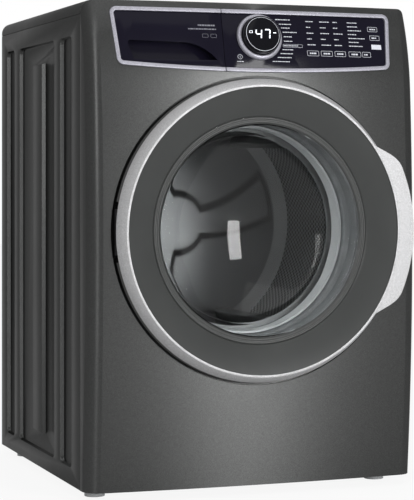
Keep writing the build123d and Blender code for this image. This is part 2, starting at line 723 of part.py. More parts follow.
INNER_BEND = bowl_bend(0, 0)
OUTER_BEND = bowl_bend(GLASS_GROW, GLASS_WALL)
with BuildPart() as door_glass:
    with BuildSketch(LATHE):
        with BuildLine():
            Polyline(
                (GLASS_RIM, -GLASS_FRONT),
                (GLASS_MOUTH, -GLASS_FRONT),
                *INNER_BEND,
                (0, GLASS_END),
                (0, GLASS_END + GLASS_WALL),
                *reversed(OUTER_BEND),
                (GLASS_MOUTH + GLASS_GROW, -GLASS_FRONT + GLASS_WALL),
                (GLASS_RIM, -GLASS_FRONT + GLASS_WALL),
                close=True,
            )
        make_face()
    revolve(axis=DRUM_AXIS)
keep(door_glass, "door_glass")

# Door inner frame: back ring with a notch for the hinge and two ears for the latch hook
EAR_START = HOOK_HALF + 2 * FIT
with BuildPart() as door_inner_frame:
    rim_front = RING_BASE - FIT
    rim_radius = RING_BASE_RADIUS - FIT
    with BuildSketch(LATHE):
        with BuildLine():
            Polyline(
                (FRAME_BORE, -FRAME_BACK - FRAME_WALL),
                (FRAME_BORE, -FRAME_BACK),
                (rim_radius - 12, -FRAME_BACK),
                (rim_radius, -rim_front + FRAME_WALL),
                (rim_radius, -rim_front),
                (rim_radius - 14, -rim_front),
                (rim_radius - 20, -FRAME_BACK - FRAME_WALL),
                close=True,
            )
        make_face()
    revolve(axis=DRUM_AXIS)
    with BuildSketch(front_plane(0)):
        with Locations((PIN_X - KNUCKLE_RADIUS, 0)):
            Rectangle(2 * (KNUCKLE_RADIUS + 13), 2 * (KNUCKLE_HIGH + 3))
    extrude(amount=DOOR_FRONT, mode=Mode.SUBTRACT)
    for ear_low in (EAR_START, -EAR_START - EAR_THICK):
        with BuildSketch(Plane.XY.offset(DRUM_Z + ear_low)):
            with Locations((HOOK_X, ahead((FRAME_BACK + FIT + DISH_FLOOR + 1) / 2))):
                Rectangle(EAR_WIDTH, FRAME_BACK + FIT - DISH_FLOOR - 1)
            with Locations((HOOK_X, ahead(HOOK_AHEAD))):
                Circle(TRUNNION_RADIUS + RUN_FIT, mode=Mode.SUBTRACT)
        extrude(amount=EAR_THICK)
keep(door_inner_frame, "door_inner_frame")

# Hinge: bracket with two knuckles in the dish, its pin, and the leaf on the door between them
with BuildPart() as hinge_bracket:
    plate_back = DISH_FLOOR + FIT
    plate_front = plate_back + BRACKET_THICK
    with BuildSketch(Plane.XY.offset(DRUM_Z - BRACKET_HALF)):
        with Locations((PIN_X + 14, ahead((plate_back + plate_front) / 2))):
            Rectangle(28 + BRACKET_ARM, BRACKET_THICK)
    extrude(amount=2 * BRACKET_HALF)
    for knuckle_low in (KNUCKLE_LOW, -KNUCKLE_HIGH):
        with BuildSketch(Plane.XY.offset(DRUM_Z + knuckle_low)):
            with Locations((PIN_X, ahead((plate_back + PIN_AHEAD) / 2))):
                Rectangle(BRACKET_ARM, PIN_AHEAD - plate_back)
            with Locations((PIN_X, ahead(PIN_AHEAD))):
                Circle(KNUCKLE_RADIUS)
                Circle(PIN_RADIUS, mode=Mode.SUBTRACT)
        extrude(amount=KNUCKLE_HIGH - KNUCKLE_LOW)
keep(hinge_bracket, "hinge_bracket")

with BuildPart() as hinge_pin:
    with BuildSketch(Plane.XY.offset(DRUM_Z - KNUCKLE_HIGH)):
        with Locations((PIN_X, ahead(PIN_AHEAD))):
            Circle(PIN_RADIUS - RUN_FIT / 2)
    extrude(amount=2 * KNUCKLE_HIGH)
keep(hinge_pin, "hinge_pin")

with BuildPart() as hinge_leaf:
    leaf_front = FRAME_BACK - FIT
    with BuildSketch(Plane.XY.offset(DRUM_Z - LEAF_HALF)):
        with Locations((PIN_X + 26, ahead(leaf_front - LEAF_THICK / 2))):
            Rectangle(52, LEAF_THICK)
        with Locations((PIN_X + 5.5, ahead((leaf_front - LEAF_THICK + PIN_AHEAD + 2) / 2))):
            Rectangle(11, PIN_AHEAD + 2 - leaf_front + LEAF_THICK)
        with Locations((PIN_X, ahead(PIN_AHEAD))):
            Circle(KNUCKLE_RADIUS)
            Circle(PIN_RADIUS + RUN_FIT, mode=Mode.SUBTRACT)
    extrude(amount=2 * LEAF_HALF)
keep(hinge_leaf, "hinge_leaf")

# Latch hook with its trunnions, and the lock that it enters
with BuildPart() as latch_hook:
    with BuildSketch(Plane.XY.offset(DRUM_Z - HOOK_HALF)):
        with Locations((HOOK_X, ahead(HOOK_AHEAD))):
            Circle(HOOK_EYE)
            with Locations((0, HOOK_REACH / 2)):
                Rectangle(6, HOOK_REACH)
            with Locations((4.5, HOOK_REACH - 4)):
                Rectangle(15, 8)
    extrude(amount=2 * HOOK_HALF)
    chamfer(latch_hook.edges().filter_by(Axis.Z).sort_by_distance((HOOK_X + 12, ahead(39), DRUM_Z))[0], length=5)
    with BuildSketch(Plane.XY.offset(DRUM_Z - EAR_START - EAR_THICK)):
        with Locations((HOOK_X, ahead(HOOK_AHEAD))):
            Circle(TRUNNION_RADIUS)
    extrude(amount=2 * (EAR_START + EAR_THICK))
keep(latch_hook, "latch_hook")

with BuildPart() as door_lock:
    lock_front = DISH_FLOOR - FRONT_WALL - FIT
    with BuildSketch(front_plane(lock_front)):
        with Locations((HOOK_X + 3, 0)):
            Rectangle(52, 84)
    extrude(amount=-34)
    with BuildSketch(front_plane(lock_front)):
        with Locations((HOOK_X + 3, 0)):
            Rectangle(38, 24)
    extrude(amount=-26, mode=Mode.SUBTRACT)
keep(door_lock, "door_lock")

# Door gasket: sleeve in the dish opening, one bellows fold and a collar on the tub neck
with BuildPart() as door_gasket:
    sleeve = APERTURE - FIT - GASKET_WALL
    collar = TUB_NECK + TUB_WALL + FIT
    fold_step = GASKET_WALL / 2
    with BuildSketch(LATHE):
        with BuildLine():
            Polyline(
                (sleeve, -DISH_FLOOR),
                (sleeve, -22),
                (GASKET_FOLD, -9),
                (collar, 4),
                (collar, TUB_FRONT - FIT),
                (collar + GASKET_WALL, TUB_FRONT - FIT),
                (collar + GASKET_WALL, 4 + fold_step),
                (GASKET_FOLD + 2 * GASKET_WALL, -9),
                (sleeve + GASKET_WALL, -22 - fold_step),
                (sleeve + GASKET_WALL, -DISH_FLOOR),
                close=True,
            )
        make_face()
    revolve(axis=DRUM_AXIS)
keep(door_gasket, "door_gasket")

# Tub front: neck, front wall and short barrel
with BuildPart() as tub_front:
    with BuildSketch(LATHE):
        with BuildLine():
            Polyline(
                (TUB_NECK, TUB_NECK_FRONT),
                (TUB_NECK + TUB_WALL, TUB_NECK_FRONT),
                (TUB_NECK + TUB_WALL, TUB_FRONT),
                (TUB_OUTER, TUB_FRONT),
                (TUB_OUTER, TUB_SPLIT),
                (TUB_RADIUS, TUB_SPLIT),
                (TUB_RADIUS, TUB_FRONT + TUB_WALL),
                (TUB_NECK, TUB_FRONT + TUB_WALL),
                close=True,
            )
        make_face()
    revolve(axis=DRUM_AXIS)
keep(tub_front, "tub_front")

# Tub rear: barrel, ribbed back wall and bearing hub, with lugs and spigots on the outside
BEARING_FRONT = HUB_FRONT + 1
BEARING_REAR = HUB_BACK - 1 - BEARING_WIDTH
HEATER_X = 25.0
HEATER_Z = DRUM_Z - (DRUM_RADIUS + TUB_RADIUS) / 2 + 1
HEATER_ROD = 4.0
HEATER_START = 280.0
SUMP_LOW = DRUM_Z - TUB_OUTER - 2
SEAT_BORE = BEARING_RADIUS + RUN_FIT
LUG_TOP = DRUM_Z + sqrt(TUB_OUTER**2 - SPRING_X**2) + LUG_HEIGHT
with BuildPart() as tub_rear:
    with BuildSketch(LATHE):
        with BuildLine():
            Polyline(
                (TUB_RADIUS, TUB_SPLIT + FIT),
                (TUB_OUTER, TUB_SPLIT + FIT),
                (TUB_OUTER, TUB_BACK + TUB_WALL),
                (HUB_RADIUS, TUB_BACK + TUB_WALL),
                (HUB_RADIUS, HUB_BACK),
                (SEAT_BORE, HUB_BACK),
                (SEAT_BORE, HUB_FRONT),
                (HUB_RADIUS, HUB_FRONT),
                (HUB_RADIUS, TUB_BACK),
                (TUB_RADIUS, TUB_BACK),
                close=True,
            )
        make_face()
    revolve(axis=DRUM_AXIS)
    with BuildSketch(rear_plane(TUB_BACK + TUB_WALL)):
        with Locations((0, DRUM_Z)):
            with PolarLocations((HUB_RADIUS + TUB_RADIUS) / 2, RIB_COUNT, start_angle=180 / RIB_COUNT):
                Rectangle(TUB_RADIUS - HUB_RADIUS + 2, RIB_THICK)
    extrude(amount=RIB_DEPTH)
    with BuildSketch(Plane.XY.offset(LUG_TOP - 2 * LUG_HEIGHT)):
        with Locations((-SPRING_X, behind(BRACE_BACK)), (SPRING_X, behind(BRACE_BACK))):
            Rectangle(24, 30)
    extrude(amount=2 * LUG_HEIGHT)
    with BuildSketch(Plane.XY.offset(DRUM_Z + TUB_RADIUS / 2)):
        with Locations((FEED_X, behind(FEED_BACK))):
            Circle(FEED_RADIUS)
    extrude(amount=FEED_TOP - DRUM_Z - TUB_RADIUS / 2)
    with BuildSketch(Plane.XY.offset(SUMP_LOW)):
        with Locations((PUMP_X, behind(PUMP_BACK))):
            Circle(SUMP_RADIUS)
    extrude(amount=40)
    with BuildSketch(rear_plane(TUB_SPLIT + 10)):
        with Locations((0, DRUM_Z)):
            Circle(TUB_RADIUS)
    extrude(amount=HUB_FRONT - TUB_SPLIT - 20, mode=Mode.SUBTRACT)
    with BuildSketch(Plane.XY.offset(DRUM_Z)):
        with Locations((FEED_X, behind(FEED_BACK))):
            Circle(FEED_RADIUS - TUBE_WALL)
    extrude(amount=FEED_TOP - DRUM_Z, mode=Mode.SUBTRACT)
    with BuildSketch(Plane.XY.offset(DRUM_Z)):
        with Locations((PUMP_X, behind(PUMP_BACK))):
            Circle(SUMP_RADIUS - TUBE_WALL)
    extrude(amount=SUMP_LOW - DRUM_Z, mode=Mode.SUBTRACT)
    with BuildSketch(rear_plane(TUB_BACK - 1)):
        with Locations((-HEATER_X, HEATER_Z), (HEATER_X, HEATER_Z)):
            Circle(HEATER_ROD + FIT)
    extrude(amount=TUB_WALL + 2, mode=Mode.SUBTRACT)
keep(tub_rear, "tub_rear")

# Weights: a ring on the tub front and a saddle block on the barrel
with BuildPart() as front_counterweight:
    with BuildSketch(LATHE):
        with BuildLine():
            Polyline(
                (GASKET_FOLD + 8, 8),
                (TUB_RADIUS, 8),
                (TUB_RADIUS, TUB_FRONT - FIT),
                (GASKET_FOLD + 8, TUB_FRONT - FIT),
                close=True,
            )
        make_face()
    revolve(axis=DRUM_AXIS)
keep(front_counterweight, "front_counterweight")

with BuildPart() as top_counterweight:
    with BuildSketch(rear_plane(WEIGHT_START)):
        with Locations((0, DRUM_Z)):
            Circle(TUB_OUTER + WEIGHT_THICK)
            Circle(TUB_OUTER + FIT, mode=Mode.SUBTRACT)
        with Locations((0, DRUM_Z + TUB_OUTER)):
            Rectangle(WEIGHT_WIDTH, TUB_OUTER, mode=Mode.INTERSECT)
    extrude(amount=WEIGHT_LENGTH)
keep(top_counterweight, "top_counterweight")

# Bearings and heater
with BuildPart() as drum_bearings:
    for bearing_start in (BEARING_FRONT, BEARING_REAR):
        with BuildSketch(rear_plane(bearing_start)):
            with Locations((0, DRUM_Z)):
                Circle(BEARING_RADIUS)
                Circle(SHAFT_RADIUS + RUN_FIT, mode=Mode.SUBTRACT)
        extrude(amount=BEARING_WIDTH)
keep(drum_bearings, "drum_bearings")

with BuildPart() as heater:
    with BuildLine() as heater_path:
        Polyline(
            (-HEATER_X, behind(TUB_BACK + TUB_WALL + 6), HEATER_Z),
            (-HEATER_X, behind(HEATER_START), HEATER_Z),
            (HEATER_X, behind(HEATER_START), HEATER_Z),
            (HEATER_X, behind(TUB_BACK + TUB_WALL + 6), HEATER_Z),
        )
    with BuildSketch(Plane(origin=heater_path.wire() @ 0, z_dir=heater_path.wire() % 0)):
        Circle(HEATER_ROD)
    sweep(path=heater_path.wire(), transition=Transition.RIGHT)
    with BuildSketch(rear_plane(TUB_BACK + TUB_WALL + FIT)):
        with Locations((0, HEATER_Z)):
            Rectangle(3 * HEATER_X, 6 * HEATER_ROD)
    extrude(amount=5)
keep(heater, "heater")

# Drum: barrel, front ring, and a dished back with pressed ridges
with BuildPart() as drum_barrel:
    barrel_end = DRUM_BACK + SHEET - DRUM_BACK_CORNER - FIT
    with BuildSketch(LATHE):
        with BuildLine():
            Polyline(
                (DRUM_RADIUS - SHEET, DRUM_FRONT + SHEET + FIT),
                (DRUM_RADIUS, DRUM_FRONT + SHEET + FIT),
                (DRUM_RADIUS, barrel_end),
                (DRUM_RADIUS - SHEET, barrel_end),
                close=True,
            )
        make_face()
    revolve(axis=DRUM_AXIS)
keep(drum_barrel, "drum_barrel")

with BuildPart() as drum_front:
    with BuildSketch(LATHE):
        with BuildLine():
            Polyline(
                (DRUM_MOUTH, DRUM_FRONT),
                (DRUM_RADIUS, DRUM_FRONT),
                (DRUM_RADIUS, DRUM_FRONT + SHEET),
                (DRUM_MOUTH, DRUM_FRONT + SHEET),
                close=True,
            )
        make_face()
    revolve(axis=DRUM_AXIS)
keep(drum_front, "drum_front")

RIDGE_RADIUS = DRUM_RADIUS - 118.0
RIDGE_LENGTH = DRUM_RADIUS - 78.0
RIDGE_WIDTH = 64.0
RIDGE_HEIGHT = 9.0
RIDGE_TAPER = 40.0
with BuildPart() as drum_back:
    with BuildSketch(LATHE):
        with BuildLine():
            Polyline(
                (0, DRUM_BACK + SHEET),
                (DRUM_RADIUS - DRUM_BACK_CORNER, DRUM_BACK + SHEET),
                (DRUM_RADIUS, DRUM_BACK + SHEET - DRUM_BACK_CORNER),
                (DRUM_RADIUS - sqrt(2) * SHEET, DRUM_BACK + SHEET - DRUM_BACK_CORNER),
                (DRUM_RADIUS - DRUM_BACK_CORNER - (sqrt(2) - 1) * SHEET, DRUM_BACK),
                (0, DRUM_BACK),
                close=True,
            )
        make_face()
    revolve(axis=DRUM_AXIS)
    for lifter_angle in LIFTER_ANGLES:
        with BuildSketch(front_plane(-DRUM_BACK)):
            with PolarLocations(RIDGE_RADIUS, 1, start_angle=lifter_angle + 60):
                Rectangle(RIDGE_LENGTH, RIDGE_WIDTH)
        extrude(amount=RIDGE_HEIGHT, taper=RIDGE_TAPER)
        with BuildSketch(front_plane(-DRUM_BACK - SHEET)):
            with PolarLocations(RIDGE_RADIUS, 1, start_angle=lifter_angle + 60):
                Rectangle(RIDGE_LENGTH - 2 * SHEET, RIDGE_WIDTH - 2 * SHEET)
        extrude(amount=RIDGE_HEIGHT, taper=RIDGE_TAPER, mode=Mode.SUBTRACT)
keep(drum_back, "drum_back")


def vane_face():
    """Cross section of a lifter, standing on the inside of the barrel."""
    base = DRUM_RADIUS - SHEET - FIT
    edge = sqrt(base**2 - LIFTER_HALF**2)
    with BuildSketch() as vane:
        with BuildLine():
            ThreePointArc((edge, -LIFTER_HALF), (base, 0), (edge, LIFTER_HALF))
            Polyline(
                (edge, LIFTER_HALF),
                (base - LIFTER_HEIGHT, LIFTER_HALF / 4),
                (base - LIFTER_HEIGHT, -LIFTER_HALF / 4),
                (edge, -LIFTER_HALF),
            )
        make_face()
        fillet(vane.vertices().group_by(Axis.X)[0], radius=LIFTER_HALF / 5)
    return vane.sketch


# Lifters: three vanes round the inside of the barrel
with BuildPart() as drum_lifters:
    with BuildSketch(front_plane(-LIFTER_END)):
        for lifter_angle in LIFTER_ANGLES:
            add(vane_face(), rotation=lifter_angle)
    extrude(amount=LIFTER_END - LIFTER_START)
keep(drum_lifters, "drum_lifters")

# Spider with the drum shaft, and the pulley on its end
with BuildPart() as drum_spider:
    with BuildSketch(rear_plane(SPIDER_FRONT)):
        with Locations((0, DRUM_Z)):
            Circle(HUB_RADIUS)
            for lifter_angle in LIFTER_ANGLES:
                with PolarLocations(SPIDER_REACH / 2, 1, start_angle=180 - lifter_angle):
                    Rectangle(SPIDER_REACH, 40)
    extrude(amount=SPIDER_THICK)
    with BuildSketch(rear_plane(SPIDER_FRONT)):
        with Locations((0, DRUM_Z)):
            Circle(SHAFT_RADIUS)
    extrude(amount=SHAFT_END - SPIDER_FRONT)
keep(drum_spider, "drum_spider")

with BuildPart() as drum_pulley:
    with BuildSketch(rear_plane(PULLEY_FRONT)):
        with Locations((0, DRUM_Z)):
            Circle(PULLEY_RADIUS)
            Circle(PULLEY_RADIUS - PULLEY_RIM, mode=Mode.SUBTRACT)
            Circle(PULLEY_HUB)
    extrude(amount=PULLEY_WIDTH)
    with BuildSketch(rear_plane(PULLEY_FRONT + PULLEY_WIDTH / 4)):
        with Locations((0, DRUM_Z)):
            with PolarLocations((PULLEY_RADIUS + PULLEY_HUB - PULLEY_RIM) / 2, 6):
                Rectangle(PULLEY_RADIUS - PULLEY_HUB - PULLEY_RIM + 4, 18)
    extrude(amount=PULLEY_WIDTH / 2)
    with BuildSketch(rear_plane(PULLEY_FRONT)):
        with Locations((0, DRUM_Z)):
            Circle(SHAFT_RADIUS + RUN_FIT / 2)
    extrude(amount=PULLEY_WIDTH, mode=Mode.SUBTRACT)
keep(drum_pulley, "drum_pulley")


def belt_face(growth):
    """Outline round both pulleys, grown by this much, facing backwards."""
    with BuildSketch() as face:
        with Locations((0, DRUM_Z)):
            Circle(PULLEY_RADIUS + growth)
        with Locations((0, MOTOR_Z)):
            Circle(MOTOR_PULLEY_RADIUS + growth)
        make_hull()
    return face.sketch


with BuildPart() as drive_belt:
    with BuildSketch(rear_plane(PULLEY_FRONT + (PULLEY_WIDTH - BELT_WIDTH) / 2)):
        add(belt_face(FIT + BELT_THICK))
        add(belt_face(FIT), mode=Mode.SUBTRACT)
    extrude(amount=BELT_WIDTH)
keep(drive_belt, "drive_belt")

# Motor under the tub, on a saddle, with its shaft and belt pulley
with BuildPart() as motor:
    with BuildSketch(rear_plane(MOTOR_FRONT)):
        with Locations((0, MOTOR_Z)):
            Circle(MOTOR_RADIUS)
    extrude(amount=MOTOR_BACK - MOTOR_FRONT)
    with BuildSketch(rear_plane(MOTOR_FRONT + 30)):
        with Locations((0, MOTOR_Z + MOTOR_RADIUS)):
            Rectangle(MOTOR_RADIUS, MOTOR_RADIUS)
        with Locations((0, DRUM_Z)):
            Circle(TUB_OUTER + FIT, mode=Mode.SUBTRACT)
    extrude(amount=110)
    with BuildSketch(rear_plane(MOTOR_BACK - 50)):
        with Locations((0, MOTOR_Z)):
            Circle(MOTOR_SHAFT_RADIUS + RUN_FIT)
    extrude(amount=51, mode=Mode.SUBTRACT)
keep(motor, "motor")

with BuildPart() as motor_pulley:
    with BuildSketch(rear_plane(MOTOR_BACK - 48)):
        with Locations((0, MOTOR_Z)):
            Circle(MOTOR_SHAFT_RADIUS)
    extrude(amount=PULLEY_FRONT + PULLEY_WIDTH - MOTOR_BACK + 48)
    with BuildSketch(rear_plane(PULLEY_FRONT)):
        with Locations((0, MOTOR_Z)):
            Circle(MOTOR_PULLEY_RADIUS)
    extrude(amount=PULLEY_WIDTH)
keep(motor_pulley, "motor_pulley")

# Brace across the top, with the springs that carry the tub
BRACE_TOP = SIDE_TOP - SEAM_GAP - SHEET - FIT
with BuildPart() as spring_brace:
    with BuildSketch(Plane.XY.offset(BRACE_TOP - BRACE_HEIGHT)):
        with Locations((0, behind(BRACE_BACK))):
            Rectangle(2 * (SIDE_INNER - FIT), BRACE_DEPTH)
    extrude(amount=BRACE_HEIGHT)
    with BuildSketch(Plane.XY.offset(BRACE_TOP)):
        with Locations((0, behind(BRACE_BACK))):
            Rectangle(2 * (SIDE_INNER - FLANGE), BRACE_DEPTH - 4 * SHEET)
    extrude(amount=2 * SHEET - BRACE_HEIGHT, mode=Mode.SUBTRACT)
keep(spring_brace, "spring_brace")

with BuildPart() as suspension_springs:
    with BuildSketch(Plane.XY.offset(LUG_TOP + FIT)):
        with Locations((-SPRING_X, behind(BRACE_BACK)), (SPRING_X, behind(BRACE_BACK))):
            Circle(SPRING_RADIUS)
    extrude(amount=BRACE_TOP - BRACE_HEIGHT - LUG_TOP - 2 * FIT)
keep(suspension_springs, "suspension_springs")

# Dampers: cylinders on the pan, rods under the tub
with BuildPart() as damper_cylinders:
    with BuildSketch(Plane.XY.offset(PAN_FLOOR + FIT)):
        with Locations((-DAMPER_X, behind(DAMPER_BACK)), (DAMPER_X, behind(DAMPER_BACK))):
            Circle(DAMPER_RADIUS)
    extrude(amount=DAMPER_TOP - PAN_FLOOR - FIT)
    with BuildSketch(Plane.XY.offset(DAMPER_TOP)):
        with Locations((-DAMPER_X, behind(DAMPER_BACK)), (DAMPER_X, behind(DAMPER_BACK))):
            Circle(ROD_RADIUS + FIT)
    extrude(amount=ROD_LOW - 24 - DAMPER_TOP, mode=Mode.SUBTRACT)
keep(damper_cylinders, "damper_cylinders")

with BuildPart() as damper_rods:
    rod_head = DRUM_Z - sqrt(TUB_OUTER**2 - DAMPER_X**2)
    with BuildSketch(Plane.XY.offset(ROD_LOW)):
        with Locations((-DAMPER_X, behind(DAMPER_BACK)), (DAMPER_X, behind(DAMPER_BACK))):
            Circle(ROD_RADIUS)
    extrude(amount=rod_head - ROD_LOW - 20)
    with BuildSketch(Plane.XY.offset(rod_head - 36)):
        with Locations((-DAMPER_X, behind(DAMPER_BACK)), (DAMPER_X, behind(DAMPER_BACK))):
            Rectangle(36, 36)
    extrude(amount=60)
    with BuildSketch(rear_plane(DAMPER_BACK - 30)):
        with Locations((0, DRUM_Z)):
            Circle(TUB_OUTER + FIT)
    extrude(amount=60, mode=Mode.SUBTRACT)
keep(damper_rods, "damper_rods")

# Water path: feed bellows, sump bellows, pump, drain pipe and rear outlet
with BuildPart() as dispenser_hose:
    with BuildSketch(Plane.XY.offset(FEED_TOP - HOSE_LAP)):
        with Locations((FEED_X, behind(FEED_BACK))):
            Circle(FEED_RADIUS + FIT + TUBE_WALL)
            Circle(FEED_RADIUS + FIT, mode=Mode.SUBTRACT)
    extrude(amount=SPOUT_LOW - FEED_TOP + 2 * HOSE_LAP)
keep(dispenser_hose, "dispenser_hose")

PUMP_TOP = 112.0
with BuildPart() as drain_pump:
    with BuildSketch(Plane.XY.offset(PAN_FLOOR + FIT)):
        with Locations((PUMP_X, behind(PUMP_BACK))):
            Circle(PUMP_RADIUS)
    extrude(amount=PUMP_TOP - PAN_FLOOR - FIT)
    with BuildSketch(Plane.XY.offset(PUMP_TOP)):
        with Locations((PUMP_X, behind(PUMP_BACK))):
            Circle(SUMP_RADIUS)
            Circle(SUMP_RADIUS - TUBE_WALL, mode=Mode.SUBTRACT)
    extrude(amount=(SUMP_LOW - PUMP_TOP) / 2 - HOSE_LAP)
    with BuildSketch(rear_plane(PUMP_BACK + PUMP_RADIUS / 2)):
        with Locations((-PUMP_X, DRAIN_Z)):
            Circle(DRAIN_RADIUS)
    extrude(amount=PUMP_RADIUS / 2 + 30)
keep(drain_pump, "drain_pump")

with BuildPart() as sump_hose:
    with BuildSketch(Plane.XY.offset(PUMP_TOP + FIT)):
        with Locations((PUMP_X, behind(PUMP_BACK))):
            Circle(SUMP_RADIUS + FIT + TUBE_WALL)
            Circle(SUMP_RADIUS + FIT, mode=Mode.SUBTRACT)
    extrude(amount=SUMP_LOW + 14 - PUMP_TOP)
keep(sump_hose, "sump_hose")

with BuildPart() as drain_pipe:
    pipe_start = PUMP_BACK + PUMP_RADIUS + 10
    with BuildSketch(rear_plane(pipe_start)):
        with Locations((-PUMP_X, DRAIN_Z)):
            Circle(DRAIN_RADIUS + FIT + TUBE_WALL)
            Circle(DRAIN_RADIUS + FIT, mode=Mode.SUBTRACT)
    extrude(amount=REAR_FACE - 16 - pipe_start)
keep(drain_pipe, "drain_pipe")

with BuildPart() as drain_outlet:
    outlet_front = REAR_FACE - 40
    outlet_length = SIDE_DEPTH + REAR_REACH - outlet_front
    with BuildSketch(rear_plane(outlet_front)):
        with Locations((-PUMP_X, DRAIN_Z)):
            Circle(DRAIN_RADIUS)
    extrude(amount=outlet_length)
    with BuildSketch(rear_plane(REAR_FACE + FIT)):
        with Locations((-PUMP_X, DRAIN_Z)):
            Rectangle(OUTLET_FLANGE, 2 * DRAIN_RADIUS + 8)
    extrude(amount=4)
    with BuildSketch(rear_plane(outlet_front)):
        with Locations((-PUMP_X, DRAIN_Z)):
            Circle(DRAIN_RADIUS - TUBE_WALL)
    extrude(amount=outlet_length, mode=Mode.SUBTRACT)
keep(drain_outlet, "drain_outlet")

# Inlet valve with two spigots through the rear panel, and its hoses to the dispenser
VALVE_FRONT = 600.0
with BuildPart() as inlet_valve:
    with BuildSketch(rear_plane(VALVE_FRONT)):
        with Locations((-sum(INLET_XS) / 2, INLET_Z)):
            Rectangle(INLET_XS[1] - INLET_XS[0] + VALVE_MARGIN, VALVE_MARGIN)
    extrude(amount=REAR_FACE - SHEET - FIT - VALVE_FRONT)
    for inlet_x in INLET_XS:
        with BuildSketch(rear_plane(VALVE_FRONT + 20)):
            with Locations((-inlet_x, INLET_Z)):
                Circle(SPIGOT_RADIUS)
        extrude(amount=REAR_FACE + SPIGOT_LENGTH - VALVE_FRONT - 20)
        with BuildSketch(rear_plane(REAR_FACE)):
            with Locations((-inlet_x, INLET_Z)):
                Circle(SPIGOT_RADIUS - TUBE_WALL)
        extrude(amount=SPIGOT_LENGTH, mode=Mode.SUBTRACT)
keep(inlet_valve, "inlet_valve")

with BuildPart() as fill_hoses:
    with BuildSketch(rear_plane(HOUSING_END + FIT)):
        with Locations(*[(-inlet_x, INLET_Z) for inlet_x in INLET_XS]):
            Circle(FILL_RADIUS)
            Circle(FILL_RADIUS - TUBE_WALL, mode=Mode.SUBTRACT)
    extrude(amount=VALVE_FRONT - HOUSING_END - 2 * FIT)
keep(fill_hoses, "fill_hoses")

with BuildPart() as cord_gland:
    with BuildSketch(rear_plane(REAR_FACE - 10)):
        with Locations((-GLAND_X, GLAND_Z)):
            Circle(2 * GLAND_BORE)
    extrude(amount=18)
    with BuildSketch(rear_plane(REAR_FACE + FIT)):
        with Locations((-GLAND_X, GLAND_Z)):
            RegularPolygon(3 * GLAND_BORE, 6)
    extrude(amount=5)
    with BuildSketch(rear_plane(REAR_FACE - 10)):
        with Locations((-GLAND_X, GLAND_Z)):
            Circle(GLAND_BORE)
    extrude(amount=18, mode=Mode.SUBTRACT)
keep(cord_gland, "cord_gland")

# Rear panel with its service opening, raised cover and screws
COVER_HIGH = DRUM_Z + COVER_ABOVE
COVER_MID = (COVER_LOW + COVER_HIGH) / 2
COVER_TALL = COVER_HIGH - COVER_LOW
with BuildPart() as rear_panel:
    with BuildSketch(rear_plane(REAR_FACE - SHEET)):
        with Locations((0, (PAN_BOTTOM + BRACE_TOP) / 2)):
            Rectangle(2 * (SIDE_INNER - FIT), BRACE_TOP - PAN_BOTTOM)
        with Locations((0, COVER_MID)):
            Rectangle(COVER_WIDTH - 2 * COVER_LAP, COVER_TALL - 2 * COVER_LAP, mode=Mode.SUBTRACT)
        with Locations((-sum(INLET_XS) / 2, INLET_Z)):
            Rectangle(INLET_XS[1] - INLET_XS[0] + VALVE_WINDOW, VALVE_WINDOW, mode=Mode.SUBTRACT)
        with Locations((-PUMP_X, DRAIN_Z)):
            Circle(DRAIN_RADIUS + FIT, mode=Mode.SUBTRACT)
        with Locations((-GLAND_X, GLAND_Z)):
            Circle(2 * GLAND_BORE + FIT, mode=Mode.SUBTRACT)
    extrude(amount=SHEET)
keep(rear_panel, "rear_panel")

with BuildPart() as rear_cover:
    with BuildSketch(rear_plane(REAR_FACE + FIT)):
        with Locations((0, COVER_MID)):
            RectangleRounded(COVER_WIDTH, COVER_TALL, COVER_LAP)
    extrude(amount=SHEET)
    with BuildSketch(rear_plane(REAR_FACE + FIT)):
        with Locations((0, COVER_MID)):
            Rectangle(COVER_WIDTH - 2 * COVER_LAP, COVER_TALL - 2 * COVER_LAP)
    extrude(amount=COVER_RISE, taper=30)
    with BuildSketch(rear_plane(REAR_FACE + FIT)):
        with Locations((0, COVER_MID)):
            Rectangle(COVER_WIDTH - 2 * COVER_LAP - 3, COVER_TALL - 2 * COVER_LAP - 3)
    extrude(amount=COVER_RISE - SHEET, taper=30, mode=Mode.SUBTRACT)
keep(rear_cover, "rear_cover")

COVER_SCREW_ZS = [COVER_MID + share * COVER_TALL for share in (-0.44, -0.17, 0.17, 0.44)]
PANEL_SCREW_ZS = [PAN_TOP + 10, HEIGHT / 2, SIDE_TOP - 38]
SCREW_SPOTS = [(x * (COVER_WIDTH / 2 - COVER_LAP / 2), z) for x in (-1, 1) for z in COVER_SCREW_ZS]
SCREW_SPOTS += [(x * (WIDTH / 2 - FLANGE / 2), z) for x in (-1, 1) for z in PANEL_SCREW_ZS]
with BuildPart() as rear_screws:
    with BuildSketch(rear_plane(SIDE_DEPTH + FIT)):
        with Locations(*SCREW_SPOTS):
            RegularPolygon(5, 6)
    extrude(amount=4)
keep(rear_screws, "rear_screws")

